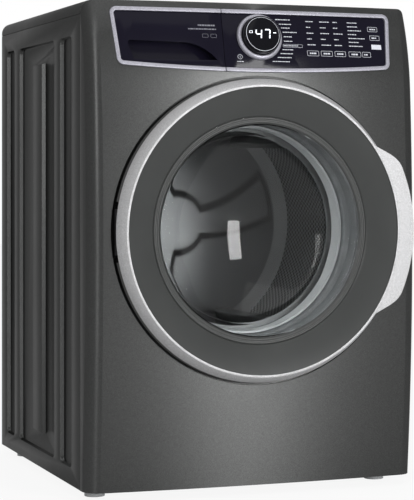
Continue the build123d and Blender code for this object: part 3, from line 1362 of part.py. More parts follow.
# Base frame: pan with four threaded bosses for the feet
FOOT_SPOTS = [(x, behind(back)) for back in FOOT_BACKS for x in (-FOOT_X, FOOT_X)]
with BuildPart() as base_frame:
    pan_front = SEAM_GAP + SHEET + FIT
    pan_back = REAR_FACE - SHEET - FIT
    with BuildSketch(Plane.XY.offset(PAN_BOTTOM)):
        with Locations((0, behind((pan_front + pan_back) / 2))):
            Rectangle(2 * (SIDE_INNER - FIT), pan_back - pan_front)
    extrude(amount=PAN_TOP - PAN_BOTTOM)
    offset(amount=-PAN_WALL, openings=base_frame.faces().sort_by(Axis.Z)[-1])
    with BuildSketch(Plane.XY.offset(PAN_BOTTOM)):
        with Locations(*FOOT_SPOTS):
            Rectangle(2 * BOSS_RADIUS, 2 * BOSS_RADIUS)
    extrude(amount=BOSS_TOP - PAN_BOTTOM)
    with BuildSketch(Plane.XY.offset(PAN_BOTTOM)):
        with Locations(*FOOT_SPOTS):
            Circle(STUD_RADIUS + RUN_FIT)
    extrude(amount=BOSS_TOP - PAN_BOTTOM, mode=Mode.SUBTRACT)
keep(base_frame, "base_frame")

# Feet: round pad, hexagon for the spanner and a stud up into the boss
FOOT_NAMES = ["foot_front_left", "foot_front_right", "foot_rear_left", "foot_rear_right"]
for foot_name, foot_spot in zip(FOOT_NAMES, FOOT_SPOTS):
    with BuildPart() as foot:
        with BuildSketch(Plane.XY):
            with Locations(foot_spot):
                Circle(FOOT_RADIUS)
        extrude(amount=FOOT_PAD)
        with BuildSketch(Plane.XY.offset(FOOT_PAD)):
            with Locations(foot_spot):
                RegularPolygon(FOOT_RADIUS / 2, 6)
        extrude(amount=PAN_BOTTOM - FIT - FOOT_PAD)
        with BuildSketch(Plane.XY.offset(FOOT_PAD)):
            with Locations(foot_spot):
                Circle(STUD_RADIUS)
        extrude(amount=STUD_TOP - FOOT_PAD)
    keep(foot, foot_name)
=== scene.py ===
import json
import logging
import math
from dataclasses import dataclass, replace
from enum import Enum
from functools import cached_property
from typing import Iterable, Optional, Sequence, Union

import bmesh
import bpy
from mathutils import Matrix, Vector


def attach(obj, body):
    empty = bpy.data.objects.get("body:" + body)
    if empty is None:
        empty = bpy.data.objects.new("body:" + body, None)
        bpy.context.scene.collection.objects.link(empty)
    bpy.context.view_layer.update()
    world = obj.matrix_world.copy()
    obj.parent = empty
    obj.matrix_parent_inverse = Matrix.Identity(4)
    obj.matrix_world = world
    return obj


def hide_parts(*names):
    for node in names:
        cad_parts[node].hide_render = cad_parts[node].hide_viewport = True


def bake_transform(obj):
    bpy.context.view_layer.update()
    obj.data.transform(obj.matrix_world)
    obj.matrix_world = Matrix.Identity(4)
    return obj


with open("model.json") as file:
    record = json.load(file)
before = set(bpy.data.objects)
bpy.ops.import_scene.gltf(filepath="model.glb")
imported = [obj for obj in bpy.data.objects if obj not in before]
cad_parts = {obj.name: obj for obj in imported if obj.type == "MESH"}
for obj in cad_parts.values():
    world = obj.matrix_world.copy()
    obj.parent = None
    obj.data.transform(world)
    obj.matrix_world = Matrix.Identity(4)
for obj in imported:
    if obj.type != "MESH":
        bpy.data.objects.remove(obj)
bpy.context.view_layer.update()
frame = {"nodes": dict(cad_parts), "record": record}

LOG = logging.getLogger("washer")
MM = 0.001
SEAM_Y = -292.5 * MM
DRUM_Z = 519.0 * MM
DRUM_SEAT = Vector((0.0, SEAM_Y, DRUM_Z))
BOW_RADIUS = 4531.5
RIGHT = Vector((1.0, 0.0, 0.0))
BACKWARD = Vector((0.0, 1.0, 0.0))
UP = Vector((0.0, 0.0, 1.0))
WHITE_LIGHT = (1.0, 1.0, 1.0, 1.0)
Colour = tuple[float, float, float]
Place = tuple[float, float, float]
Out = bpy.types.NodeSocket
Outs = bpy.types.bpy_prop_collection
Socket = Union[Out, float, Sequence[float]]


class Ride(Enum):
    """Bodies that pieces move with."""

    CABINET = "cabinet"
    DOOR = "door"
    DIAL = "dial"
    DRAWER = "drawer"
    TUB = "tub"
    DRUM = "drum"
    FOOT_FRONT_LEFT = "foot_front_left"
    FOOT_FRONT_RIGHT = "foot_front_right"
    FOOT_REAR_LEFT = "foot_rear_left"
    FOOT_REAR_RIGHT = "foot_rear_right"


class NodeSketch:
    """Adds and links nodes in one shader tree."""

    def __init__(self, tree: bpy.types.NodeTree) -> None:
        """Keep the tree that is drawn in."""
        self.tree = tree

    def add(self, kind: str, inputs: Optional[dict] = None, **settings: object) -> bpy.types.Node:
        """Add a node.

        Args:
            kind: Blender's name of the node.
            inputs: Sockets to link or values to set, by name or number.
            settings: Properties of the node.

        Returns:
            The new node.
        """
        node = self.tree.nodes.new(kind)
        for key, value in settings.items():
            setattr(node, key, value)
        for key, value in (inputs or {}).items():
            self.feed(node.inputs[key], value)
        return node

    def feed(self, socket: Out, value: Socket) -> None:
        """Link a socket to another, or set its value.

        Args:
            socket: Socket to feed.
            value: Socket to link, or value to set.
        """
        if isinstance(value, bpy.types.NodeSocket):
            self.tree.links.new(value, socket)
        else:
            socket.default_value = value

    def math(self, operation: str, first: Socket, second: Socket = 0.0) -> Out:
        """Work out one number from two."""
        return self.add("ShaderNodeMath", {0: first, 1: second}, operation=operation).outputs[0]

    def scale(self, vector: Out, factors: Sequence[float]) -> Out:
        """Stretch a pattern's coordinates by a factor on each axis."""
        return self.add("ShaderNodeMapping", {"Vector": vector, "Scale": tuple(factors)}).outputs[0]

    def centre(self, vector: Out, middle: Sequence[float]) -> Outs:
        """Measure a pattern's three coordinates from a point."""
        moved = self.add("ShaderNodeMapping", {"Vector": vector, "Location": tuple(-each for each in middle)})
        return self.add("ShaderNodeSeparateXYZ", {0: moved.outputs[0]}).outputs

    def noise(self, vector: Out, scale: Socket, detail: float = 3.0) -> Out:
        """Even noise between 0 and 1, with a count of cells in a metre."""
        inputs = {"Vector": vector, "Scale": scale, "Detail": detail}
        return self.add("ShaderNodeTexNoise", inputs).outputs["Fac"]

    def cells(self, vector: Out, scale: Socket) -> Outs:
        """Three random numbers for each cell of a pattern."""
        colour = self.add("ShaderNodeTexVoronoi", {"Vector": vector, "Scale": scale}).outputs["Color"]
        return self.add("ShaderNodeSeparateColor", {"Color": colour}).outputs

    def spread(self, value: Out, low: Socket, high: Socket, start: float = 0.3, end: float = 0.7) -> Out:
        """Map a value that runs from start to end, as most noise does, to run from low to high."""
        inputs = {"Value": value, "From Min": start, "From Max": end, "To Min": low, "To Max": high}
        return self.add("ShaderNodeMapRange", inputs).outputs["Result"]

    def pits(self, vector: Out, scale: float, start: float, end: float, metric: str = "EUCLIDEAN") -> Out:
        """Rise from 0 to 1 between two distances from the middle of each cell."""
        cells = self.add("ShaderNodeTexVoronoi", {"Vector": vector, "Scale": scale}, distance=metric)
        return self.spread(cells.outputs["Distance"], 0.0, 1.0, start, end)

    def sway(self, value: Out, drift: Socket, start: float = 0.3, end: float = 0.7) -> Out:
        """Map a value to a shade that strays from 1 by a drift."""
        low, high = self.math("SUBTRACT", 1.0, drift), self.math("ADD", 1.0, drift)
        return self.spread(value, low, high, start, end)

    def blend(self, share: Out, first: Socket, second: Socket) -> Out:
        """Mix two colours by the share of the second."""
        return self.add("ShaderNodeMix", {0: share, 6: first, 7: second}, data_type="RGBA").outputs[2]

    def mix(self, share: Out, first: Out, second: Out) -> Out:
        """Mix two shaders by the share of the second."""
        return self.add("ShaderNodeMixShader", {0: share, 1: first, 2: second}).outputs[0]


def opaque(colour: Colour) -> tuple[float, float, float, float]:
    """Give a colour its alpha."""
    return (*colour, 1.0)


@dataclass(frozen=True)
class Effect:
    """Base of the shader effects that finishes share, each built once as a node group."""

    name: str
    inputs: tuple[tuple[str, float], ...]
    outputs: tuple[str, ...] = ("Shade", "Height")

    def group(self) -> bpy.types.NodeTree:
        """Give the effect's node group, made on first use.

        Returns:
            The node group.
        """
        found = bpy.data.node_groups.get(self.name)
        if found:
            return found
        group = bpy.data.node_groups.new(self.name, "ShaderNodeTree")
        group.interface.new_socket("Vector", in_out="INPUT", socket_type="NodeSocketVector")
        for key, usual in self.inputs:
            socket = group.interface.new_socket(key, in_out="INPUT", socket_type="NodeSocketFloat")
            socket.default_value = usual
        for key in self.outputs:
            group.interface.new_socket(key, in_out="OUTPUT", socket_type="NodeSocketFloat")
        sketch = NodeSketch(group)
        given = sketch.add("NodeGroupInput").outputs
        sketch.add("NodeGroupOutput", self.draw(sketch, given))
        return group

    def draw(self, sketch: NodeSketch, given: Outs) -> dict[str, Out]:
        """Draw the group's results, by name, from its inputs."""
        raise NotImplementedError


@dataclass(frozen=True)
class HandlingMarks(Effect):
    """Roughness that wanders with faint wiping marks."""

    wipe: tuple[float, float, float] = (9.0, 9.0, 1.4)
    broad: float = 0.65

    def draw(self, sketch: NodeSketch, given: Outs) -> dict[str, Out]:
        """Mix broad patches with upright wiping marks.

        Args:
            sketch: Tree of the group.
            given: Inputs of the group.

        Returns:
            The roughness.
        """
        patches = sketch.math("MULTIPLY", sketch.noise(given["Vector"], given["Scale"], 2.0), self.broad)
        wiped = sketch.noise(sketch.scale(given["Vector"], self.wipe), given["Scale"])
        share = sketch.math("ADD", patches, sketch.math("MULTIPLY", wiped, 1.0 - self.broad))
        return {"Roughness": sketch.spread(share, given["Low"], given["High"], 0.25, 0.75)}


@dataclass(frozen=True)
class PaintFlakes(Effect):
    """Fine bright flakes of a metallic paint and the orange peel of its top coat."""

    peel: float = 420.0

    def draw(self, sketch: NodeSketch, given: Outs) -> dict[str, Out]:
        """Shade each flake, and raise the orange peel."""
        shade = sketch.sway(sketch.cells(given["Vector"], given["Scale"])[0], given["Drift"], 0.0, 1.0)
        return {"Shade": shade, "Height": sketch.noise(given["Vector"], self.peel, 1.0)}


@dataclass(frozen=True)
class MouldGrain(Effect):
    """Fine spark eroded grain of a moulded plastic, with slow drift of its shade."""

    patch: float = 14.0

    def draw(self, sketch: NodeSketch, given: Outs) -> dict[str, Out]:
        """Shade slow patches, and raise the grain."""
        shade = sketch.sway(sketch.noise(given["Vector"], self.patch), given["Drift"])
        return {"Shade": shade, "Height": sketch.noise(given["Vector"], given["Scale"], 2.0)}


@dataclass(frozen=True)
class BrushLines(Effect):
    """Fine straight lines of brushed or drawn metal."""

    def draw(self, sketch: NodeSketch, given: Outs) -> dict[str, Out]:
        """Shade and raise the same lines."""
        lines = sketch.noise(given["Vector"], given["Scale"], 4.0)
        return {"Shade": sketch.sway(lines, given["Drift"]), "Height": lines}


HANDLING = HandlingMarks("handling_marks", (("Low", 0.3), ("High", 0.4), ("Scale", 6.0)), ("Roughness",))
FLAKES = PaintFlakes("paint_flakes", (("Scale", 1600.0), ("Drift", 0.3)))
MOULDING = MouldGrain("mould_grain", (("Scale", 900.0), ("Drift", 0.06)))
BRUSH = BrushLines("brush_lines", (("Scale", 60.0), ("Drift", 0.1)))


class Surface(NodeSketch):
    """Shader tree of one material, with its colour and the piece's Object coordinates."""

    def __init__(self, material: bpy.types.Material, colour: Colour) -> None:
        """Open the tree of a new material.

        Args:
            material: Material to draw in.
            colour: Its colour.
        """
        material.use_nodes = True
        super().__init__(material.node_tree)
        self.colour = colour
        self.shader = self.tree.nodes["Principled BSDF"]
        self.put({"Base Color": opaque(colour)})

    @cached_property
    def place(self) -> Out:
        """Object coordinates, made on first use."""
        return self.add("ShaderNodeTexCoord").outputs["Object"]

    def put(self, values: dict[str, Socket]) -> None:
        """Feed the shader's sockets by name."""
        for key, value in values.items():
            self.feed(self.shader.inputs[key], value)

    def show(self, shader: Out) -> None:
        """Show a shader on the surface."""
        self.feed(self.tree.nodes["Material Output"].inputs["Surface"], shader)

    def effect(self, effect: Effect, **values: Socket) -> Outs:
        """Place a shared effect with its own values."""
        inputs = {"Vector": self.place, **values}
        return self.add("ShaderNodeGroup", inputs, node_tree=effect.group()).outputs

    def shade(self, factor: Out) -> Out:
        """Multiply the material's colour by a shade."""
        inputs = {0: self.colour, "Scale": factor}
        return self.add("ShaderNodeVectorMath", inputs, operation="SCALE").outputs[0]

    def bump(self, height: Out, strength: float, depth: float) -> None:
        """Press a pattern into the surface, to a depth in millimetres."""
        inputs = {"Height": height, "Strength": strength, "Distance": depth * MM}
        self.put({"Normal": self.add("ShaderNodeBump", inputs).outputs["Normal"]})


@dataclass(frozen=True)
class Finish:
    """Base of every finish: its slot and colour, its roughness from low to high, and its relief and depth."""

    name: str
    slot: str
    colour: Colour
    low: float = 0.35
    high: float = 0.5
    marks: float = 6.0
    relief: float = 0.3
    depth: float = 0.08

    def material(self) -> bpy.types.Material:
        """Give the finish's material, made on first use.

        Returns:
            The material.
        """
        found = bpy.data.materials.get(self.name)
        if found:
            return found
        made = bpy.data.materials.new(self.name)
        made.diffuse_color = opaque(self.colour)
        self.dress(Surface(made, self.colour))
        return made

    def dress(self, surface: Surface) -> None:
        """Add the pattern, the settings, the roughness with its wiping marks, and the relief.

        Args:
            surface: Tree of the material.
        """
        colour, height = self.pattern(surface)
        rough = self.low
        if self.high > self.low:
            rough = surface.effect(HANDLING, Low=self.low, High=self.high, Scale=self.marks)["Roughness"]
        surface.put({"Base Color": colour, "Roughness": rough, **self.settings()})
        if self.relief:
            surface.bump(height, self.relief, self.depth)

    def pattern(self, surface: Surface) -> tuple[Out, Out]:
        """Draw the colour and the height that change over the surface."""
        raise NotImplementedError

    def settings(self) -> dict[str, Socket]:
        """Give the shader's other values, by socket."""
        return {}


@dataclass(frozen=True)
class MetallicPaint(Finish):
    """Metallic paint of the cabinet, the door ring and the trims, with flakes and a light orange peel."""

    low: float = 0.36
    high: float = 0.44
    relief: float = 0.12
    depth: float = 0.06
    metal: float = 0.85
    edge: float = 0.45
    lacquer: float = 0.08
    lacquer_rough: float = 0.12
    drawn: float = 0.85
    quarter_turn: float = 0.25
    sheen: float = 0.2

    def pattern(self, surface: Surface) -> tuple[Out, Out]:
        """Shade the flakes and raise the orange peel."""
        flakes = surface.effect(FLAKES)
        return surface.shade(flakes["Shade"]), flakes["Height"]

    def settings(self) -> dict[str, Socket]:
        """Give the values of the metal and its lacquer.

        Returns:
            Values by socket.
        """
        return {
            "Metallic": self.metal,
            "Specular IOR Level": self.sheen,
            "Specular Tint": opaque((self.edge, self.edge, self.edge)),
            "Coat Weight": self.lacquer,
            "Coat Roughness": self.lacquer_rough,
            "Anisotropic": self.drawn,
            "Anisotropic Rotation": self.quarter_turn,
        }


@dataclass(frozen=True)
class Plastic(Finish):
    """Moulded plastic, from polished to grained."""

    sheen: float = 0.4

    def pattern(self, surface: Surface) -> tuple[Out, Out]:
        """Shade slow patches and raise the grain."""
        mould = surface.effect(MOULDING)
        return surface.shade(mould["Shade"]), mould["Height"]

    def settings(self) -> dict[str, Socket]:
        """Give the sheen."""
        return {"Specular IOR Level": self.sheen}


class Lay(Enum):
    """Ways the lines of a brushed metal run."""

    ACROSS = (0.6, 40.0, 40.0)
    BACK = (40.0, 0.6, 40.0)
    UPRIGHT = (40.0, 40.0, 0.6)
    CAST = (12.0, 12.0, 12.0)


@dataclass(frozen=True)
class Metal(Finish):
    """Bare or plated metal with drawn lines."""

    depth: float = 0.04
    lay: Lay = Lay.ACROSS
    drift: float = 0.06

    def pattern(self, surface: Surface) -> tuple[Out, Out]:
        """Shade and raise the drawn lines."""
        brush = surface.effect(BRUSH, Vector=surface.scale(surface.place, self.lay.value), Drift=self.drift)
        return surface.shade(brush["Shade"]), brush["Height"]

    def settings(self) -> dict[str, Socket]:
        """Give the metal."""
        return {"Metallic": 1.0}


@dataclass(frozen=True)
class PerforatedSteel(Metal):
    """Stainless sheet of the drum barrel, with staggered rows of drain holes in metres."""

    relief: float = 0.8
    depth: float = 1.2
    pitch: float = 11.0 * MM
    hole: float = 3.0 * MM
    radius: float = 267.0 * MM
    row: float = 0.866
    shadow: Colour = (0.004, 0.004, 0.005)

    def pattern(self, surface: Surface) -> tuple[Out, Out]:
        """Punch the holes into the drawn sheet.

        Args:
            surface: Tree of the material.

        Returns:
            The colour, and the height of the holes' rims.
        """
        lined, _ = super().pattern(surface)
        near = self.hole_distance(surface)
        reach = self.hole / self.pitch
        steel = surface.spread(near, 0.0, 1.0, reach, reach * 1.25)
        rims = surface.spread(near, 0.0, 1.0, reach * 0.9, reach * 1.6)
        return surface.blend(steel, opaque(self.shadow), lined), rims

    def hole_distance(self, surface: Surface) -> Out:
        """Measure the distance to the centre of the nearest hole, in pitches.

        Args:
            surface: Tree of the material.

        Returns:
            The distance's socket.
        """
        axes = surface.centre(surface.place, DRUM_SEAT)
        count = round(2 * math.pi * self.radius / self.pitch)
        turn = surface.math("ARCTAN2", axes[2], axes[0])
        across = surface.math("MULTIPLY", turn, count / (2 * math.pi))
        along = surface.math("MULTIPLY", axes[1], 1.0 / (self.pitch * self.row))
        odd = surface.math("MODULO", surface.math("FLOOR", along), 2.0)
        staggered = surface.math("ADD", across, surface.math("MULTIPLY", odd, 0.5))
        aside = surface.math("SUBTRACT", surface.math("FRACT", staggered), 0.5)
        ahead = surface.math("SUBTRACT", surface.math("FRACT", along), 0.5)
        ahead = surface.math("MULTIPLY", ahead, self.row)
        squares = (surface.math("POWER", each, 2.0) for each in (aside, ahead))
        return surface.math("SQRT", surface.math("ADD", *squares))


@dataclass(frozen=True)
class ZincSheet(Finish):
    """Galvanised sheet with its crystal spangle."""

    low: float = 0.38
    high: float = 0.55
    marks: float = 9.0
    relief: float = 0.08
    spangle: float = 85.0
    dark: float = 0.9
    bright: float = 1.07
    metal: float = 0.9

    def pattern(self, surface: Surface) -> tuple[Out, Out]:
        """Shade and raise each crystal."""
        cells = surface.cells(surface.place, self.spangle)
        return surface.shade(surface.spread(cells[1], self.dark, self.bright, 0.0, 1.0)), cells[0]

    def settings(self) -> dict[str, Socket]:
        """Give the metal."""
        return {"Metallic": self.metal}


@dataclass(frozen=True)
class Rubber(Finish):
    """Moulded rubber with a chalky bloom and a fine grain."""

    low: float = 0.55
    high: float = 0.75
    marks: float = 12.0
    relief: float = 0.25
    depth: float = 0.1
    bloom: float = 35.0
    dark: float = 0.85
    bright: float = 1.2
    grain: float = 1400.0

    def pattern(self, surface: Surface) -> tuple[Out, Out]:
        """Shade the bloom and raise the grain."""
        shade = surface.spread(surface.noise(surface.place, self.bloom, 4.0), self.dark, self.bright)
        return surface.shade(shade), surface.noise(surface.place, self.grain, 2.0)


@dataclass(frozen=True)
class CastBlock(Finish):
    """Cast concrete of the weights, with grit and small pores."""

    low: float = 0.9
    high: float = 0.9
    relief: float = 0.5
    depth: float = 0.8
    grit: float = 160.0
    dark: float = 0.7
    bright: float = 1.25
    pore: float = 110.0
    pore_edge: float = 0.25

    def pattern(self, surface: Surface) -> tuple[Out, Out]:
        """Shade the grit, and raise it round the pores.

        Args:
            surface: Tree of the material.

        Returns:
            The colour and the height.
        """
        grit = surface.noise(surface.place, self.grit, 6.0)
        pits = surface.pits(surface.place, self.pore, 0.0, self.pore_edge)
        return surface.shade(surface.spread(grit, self.dark, self.bright)), surface.math("ADD", grit, pits)


@dataclass(frozen=True)
class BoardGreen(Finish):
    """Circuit board with tracks under its lacquer."""

    low: float = 0.25
    high: float = 0.4
    depth: float = 0.2
    copper: Colour = (0.04, 0.144, 0.06)
    track: float = 150.0
    track_start: float = 0.42
    track_end: float = 0.46

    def pattern(self, surface: Surface) -> tuple[Out, Out]:
        """Colour and raise the tracks."""
        track = surface.pits(surface.place, self.track, self.track_start, self.track_end, "CHEBYCHEV")
        return surface.blend(track, opaque(self.colour), opaque(self.copper)), track


@dataclass(frozen=True)
class ClearGlass(Finish):
    """Clear pressed glass with faint ripples, which lets light through its shadow."""

    low: float = 0.0
    high: float = 0.0
    relief: float = 0.1
    depth: float = 1.5
    tint: Colour = (0.93, 0.95, 0.95)
    ripple: float = 9.0
    refraction: float = 1.24

    def pattern(self, surface: Surface) -> tuple[Out, Out]:
        """Tint and raise the ripples."""
        ripple = surface.noise(surface.place, self.ripple, 1.0)
        return surface.blend(ripple, opaque(self.colour), opaque(self.tint)), ripple

    def settings(self) -> dict[str, Socket]:
        """Give the glass."""
        return {"IOR": self.refraction, "Transmission Weight": 1.0}

    def dress(self, surface: Surface) -> None:
        """Dress the glass, and let light through its shadow.

        Args:
            surface: Tree of the material.
        """
        super().dress(surface)
        through = surface.add("ShaderNodeBsdfTransparent", {"Color": opaque(self.tint)}).outputs[0]
        shadow = surface.add("ShaderNodeLightPath").outputs["Is Shadow Ray"]
        surface.show(surface.mix(shadow, surface.shader.outputs[0], through))


@dataclass(frozen=True)
class Ink(Finish):
    """Screen printed ink or a lit sign under the console, with no relief."""

    low: float = 0.45
    high: float = 0.45
    relief: float = 0.0
    screen: float = 1500.0
    dark: float = 0.88
    bright: float = 1.05
    glow: float = 0.0

    def pattern(self, surface: Surface) -> tuple[Out, Out]:
        """Shade the screen's fine unevenness."""
        grain = surface.spread(surface.noise(surface.place, self.screen, 2.0), self.dark, self.bright)
        return surface.shade(grain), grain

    def dress(self, surface: Surface) -> None:
        """Dress the ink, and let it glow in its own colour.

        Args:
            surface: Tree of the material.
        """
        super().dress(surface)
        colour = surface.shader.inputs["Base Color"].links[0].from_socket
        surface.put({"Emission Color": colour, "Emission Strength": self.glow})


PAINT = MetallicPaint("titanium_paint", "body_paint", (0.061, 0.0621, 0.0614))
LID_PAINT = replace(PAINT, name="lid_paint", drawn=0.0)
SILVER = MetallicPaint(
    "silver_paint", "bright_trim", (0.50, 0.50, 0.507), 0.44, 0.54,
    metal=0.3, edge=1.0, lacquer=0.05, drawn=0.0,
)
TRIM = MetallicPaint(
    "trim_plating", "bright_trim", (0.34, 0.336, 0.38), 0.36, 0.46,
    metal=0.45, edge=1.0, lacquer=0.06, drawn=0.0,
)
ZINC = ZincSheet("zinc_sheet", "zinc_steel", (0.42, 0.43, 0.44))
CONSOLE_GLOSS = Plastic(
    "console_gloss", "dark_console", (0.0062, 0.0054, 0.0120), 0.10, 0.16, relief=0.03, sheen=0.1
)
LENS = Plastic("lens_gloss", "display", (0.004, 0.004, 0.006), 0.06, 0.1, relief=0.02, sheen=0.12)
FUNNEL = Plastic("funnel_plastic", "dark_funnel", (0.040, 0.042, 0.041), 0.28, 0.38, relief=0.1, sheen=0.3)
GREY = Plastic("grey_plastic", "grey_plastic", (0.21, 0.215, 0.22))
WHITE = Plastic("white_plastic", "white_plastic", (0.72, 0.73, 0.73))
BLACK = Plastic("black_plastic", "black_plastic", (0.015, 0.015, 0.016))
GLASS = ClearGlass("bowl_glass", "door_glass", (0.97, 0.98, 0.98))
SOFT_RUBBER = Rubber("grey_rubber", "soft_rubber", (0.16, 0.165, 0.17))
BLACK_RUBBER = Rubber("black_rubber", "black_rubber", (0.016, 0.016, 0.017))
BOARD = BoardGreen("board_lacquer", "green_board", (0.02, 0.09, 0.04))
CONCRETE = CastBlock("cast_concrete", "concrete", (0.36, 0.35, 0.33))
CHROME = Metal("bright_plating", "bright_trim", (0.66, 0.66, 0.67), 0.08, 0.16, relief=0.03, drift=0.04)
# Drum steel colour kept far darker than bare stainless: painted shade of the drum's inside behind the glass.
SHADED_STAINLESS = Metal(
    "drum_stainless_painted_shade", "stainless", (0.17, 0.172, 0.174), 0.52, 0.62, relief=0.03, lay=Lay.BACK, drift=0.05
)
SIEVE = PerforatedSteel(
    "sieve_stainless", "stainless", (0.50, 0.505, 0.51), 0.4, 0.5, lay=Lay.BACK, drift=0.05
)
CAST = Metal("cast_alloy", "cast_metal", (0.46, 0.46, 0.47), 0.4, 0.55, relief=0.4, lay=Lay.CAST, drift=0.12)
STEEL = Metal(
    "plain_steel", "plain_steel", (0.45, 0.45, 0.46), 0.25, 0.38, relief=0.1, lay=Lay.UPRIGHT, drift=0.08
)
# Steel painted near black for the hinge: painted shade of the gap between the ring and the dish.
HINGE_PAINTED_SHADE = replace(STEEL, name="blackened_steel", colour=(0.02, 0.02, 0.021), low=0.4, high=0.5)
# The printed inks glow faintly: painted light that brightens the print. Only the lit sign's glow stands for a
# real light.
WHITE_INK = Ink("white_ink", "display", (0.52, 0.53, 0.58), glow=0.2)
DIM_INK = Ink("dim_ink", "display", (0.16, 0.16, 0.19), glow=0.1)
LIT_SIGN = Ink("lit_sign", "display", (0.86, 0.88, 0.95), glow=1.0)
NODE_FINISHES = (
    PAINT, ZINC, CONSOLE_GLOSS, CHROME, FUNNEL, GLASS, LENS, SOFT_RUBBER, BLACK_RUBBER,
    GREY, WHITE, BLACK, BOARD, CONCRETE, SHADED_STAINLESS, CAST, STEEL,
)


def dress_nodes() -> None:
    """Give every CAD node the finish of its slot, and the hinge a black one: painted shade, as the hinge sits
    in the dark gap beside the ring.
    """
    finishes = {each.slot: each for each in NODE_FINISHES}
    slots = {each["node"]: each["material_slot"] for each in frame["record"]["subparts"]}
    for name, node in frame["nodes"].items():
        finish = HINGE_PAINTED_SHADE if name.startswith("hinge") else finishes[slots[name]]
        node.data.materials.clear()
        node.data.materials.append(finish.material())


@dataclass(frozen=True)
class Corner:
    """Point of a turned profile, in millimetres, with the rounding there and its steps."""

    radius: float
    along: float
    rounding: float = 0.0
    steps: int = 4


class Shape:
    """A mesh under construction."""

    copy_gap = 3e-6
    turned_gap = 2e-6
    thinnest = 1e-7
    flat_angle = math.radians(0.15)

    def __init__(self) -> None:
        """Start with nothing."""
        self.mesh = bmesh.new()

    @classmethod
    def reskin(
        cls, node: str, name: str, finish: Finish, ride: Ride, width: float = 0.0, segments: int = 2
    ) -> bpy.types.Object:
        """Make a piece that stands for a CAD node: a copy with its triangles joined and its edges rounded.

        Args:
            node: Name of the node.
            name: Name of the piece.
            finish: Its finish.
            ride: Body that it moves with.
            width: Width of the rounding in millimetres.
            segments: Steps of the rounding.

        Returns:
            The piece's object.
        """
        shape = cls()
        mesh = shape.mesh
        mesh.from_mesh(frame["nodes"][node].data)
        bmesh.ops.remove_doubles(mesh, verts=mesh.verts, dist=cls.copy_gap)
        bmesh.ops.dissolve_limit(
            mesh, angle_limit=cls.flat_angle, verts=mesh.verts, edges=mesh.edges,
            use_dissolve_boundaries=False,
        )
        if width:
            shape.round_edges(width, segments)
        return shape.finish(name, finish, ride, [node])

    @classmethod
    def turned(
        cls,
        profile: Sequence[Corner],
        steps: int = 160,
        closed: bool = True,
        seat: Vector = DRUM_SEAT,
        axis: Vector = BACKWARD,
    ) -> "Shape":
        """Turn a profile on a lathe.

        Args:
            profile: Corners as radius and distance along the axis.
            steps: Steps round the axis.
            closed: Whether the last corner joins the first.
            seat: Point on the axis where distances start.
            axis: Direction of the axis.

        Returns:
            The new shape.
        """
        shape = cls()
        mesh = shape.mesh
        points = [
            mesh.verts.new(seat + RIGHT * (each.radius * MM) + axis * (each.along * MM)) for each in profile
        ]
        ends = points[1:] + points[:1] if closed else points[1:]
        for start, end in zip(points, ends):
            mesh.edges.new((start, end))
        for point, corner in zip(points, profile):
            if corner.rounding:
                bmesh.ops.bevel(
                    mesh, geom=[point], offset=corner.rounding * MM, segments=corner.steps, profile=0.5,
                    affect="VERTICES", clamp_overlap=True, material=-1,
                )
        bmesh.ops.spin(
            mesh, geom=mesh.verts[:] + mesh.edges[:], cent=seat, axis=axis, angle=2 * math.pi, steps=steps,
            use_merge=True, use_duplicate=False,
        )
        shape.tidy()
        return shape

    def tidy(self) -> None:
        """Join doubled points and turn the faces outwards."""
        bmesh.ops.remove_doubles(self.mesh, verts=self.mesh.verts, dist=self.turned_gap)
        bmesh.ops.dissolve_degenerate(self.mesh, edges=self.mesh.edges, dist=self.thinnest)
        bmesh.ops.recalc_face_normals(self.mesh, faces=self.mesh.faces)

    def close(self) -> None:
        """Fill the open ends, then tidy."""
        bmesh.ops.holes_fill(self.mesh, edges=[edge for edge in self.mesh.edges if edge.is_boundary])
        self.tidy()

    def round_edges(self, width: float, segments: int = 2, angle: float = 32.0) -> None:
        """Round every edge that is sharper than an angle.

        Args:
            width: Width of the rounding in millimetres.
            segments: Steps of the rounding.
            angle: Angle in degrees.
        """
        limit = math.radians(angle)
        edges = [edge for edge in self.mesh.edges if edge.is_manifold and edge.calc_face_angle(0.0) > limit]
        bmesh.ops.bevel(
            self.mesh, geom=edges, offset=width * MM, segments=segments, profile=0.5, affect="EDGES",
            clamp_overlap=True, material=-1,
        )

    def finish(
        self,
        name: str,
        finish: Finish,
        ride: Optional[Ride],
        replaces: Iterable[str] = (),
        smooth: float = 34.0,
    ) -> bpy.types.Object:
        """Make the shape a piece of the machine.

        Args:
            name: Name of the piece.
            finish: Its finish.
            ride: Body that it moves with, or None where it bends between two.
            replaces: CAD nodes that it stands for.
            smooth: Angle in degrees up to which edges look smooth.

        Returns:
            The piece's object.
        """
        data = bpy.data.meshes.new(name)
        self.mesh.to_mesh(data)
        self.mesh.free()
        data.materials.append(finish.material())
        data.shade_smooth()
        data.set_sharp_from_angle(angle=math.radians(smooth))
        piece = bpy.data.objects.new(name, data)
        bpy.context.scene.collection.objects.link(piece)
        if ride:
            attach(piece, ride.value)
        if replaces:
            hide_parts(*replaces)
        LOG.info("%s: %d faces, %s", name, len(data.polygons), finish.name)
        return piece


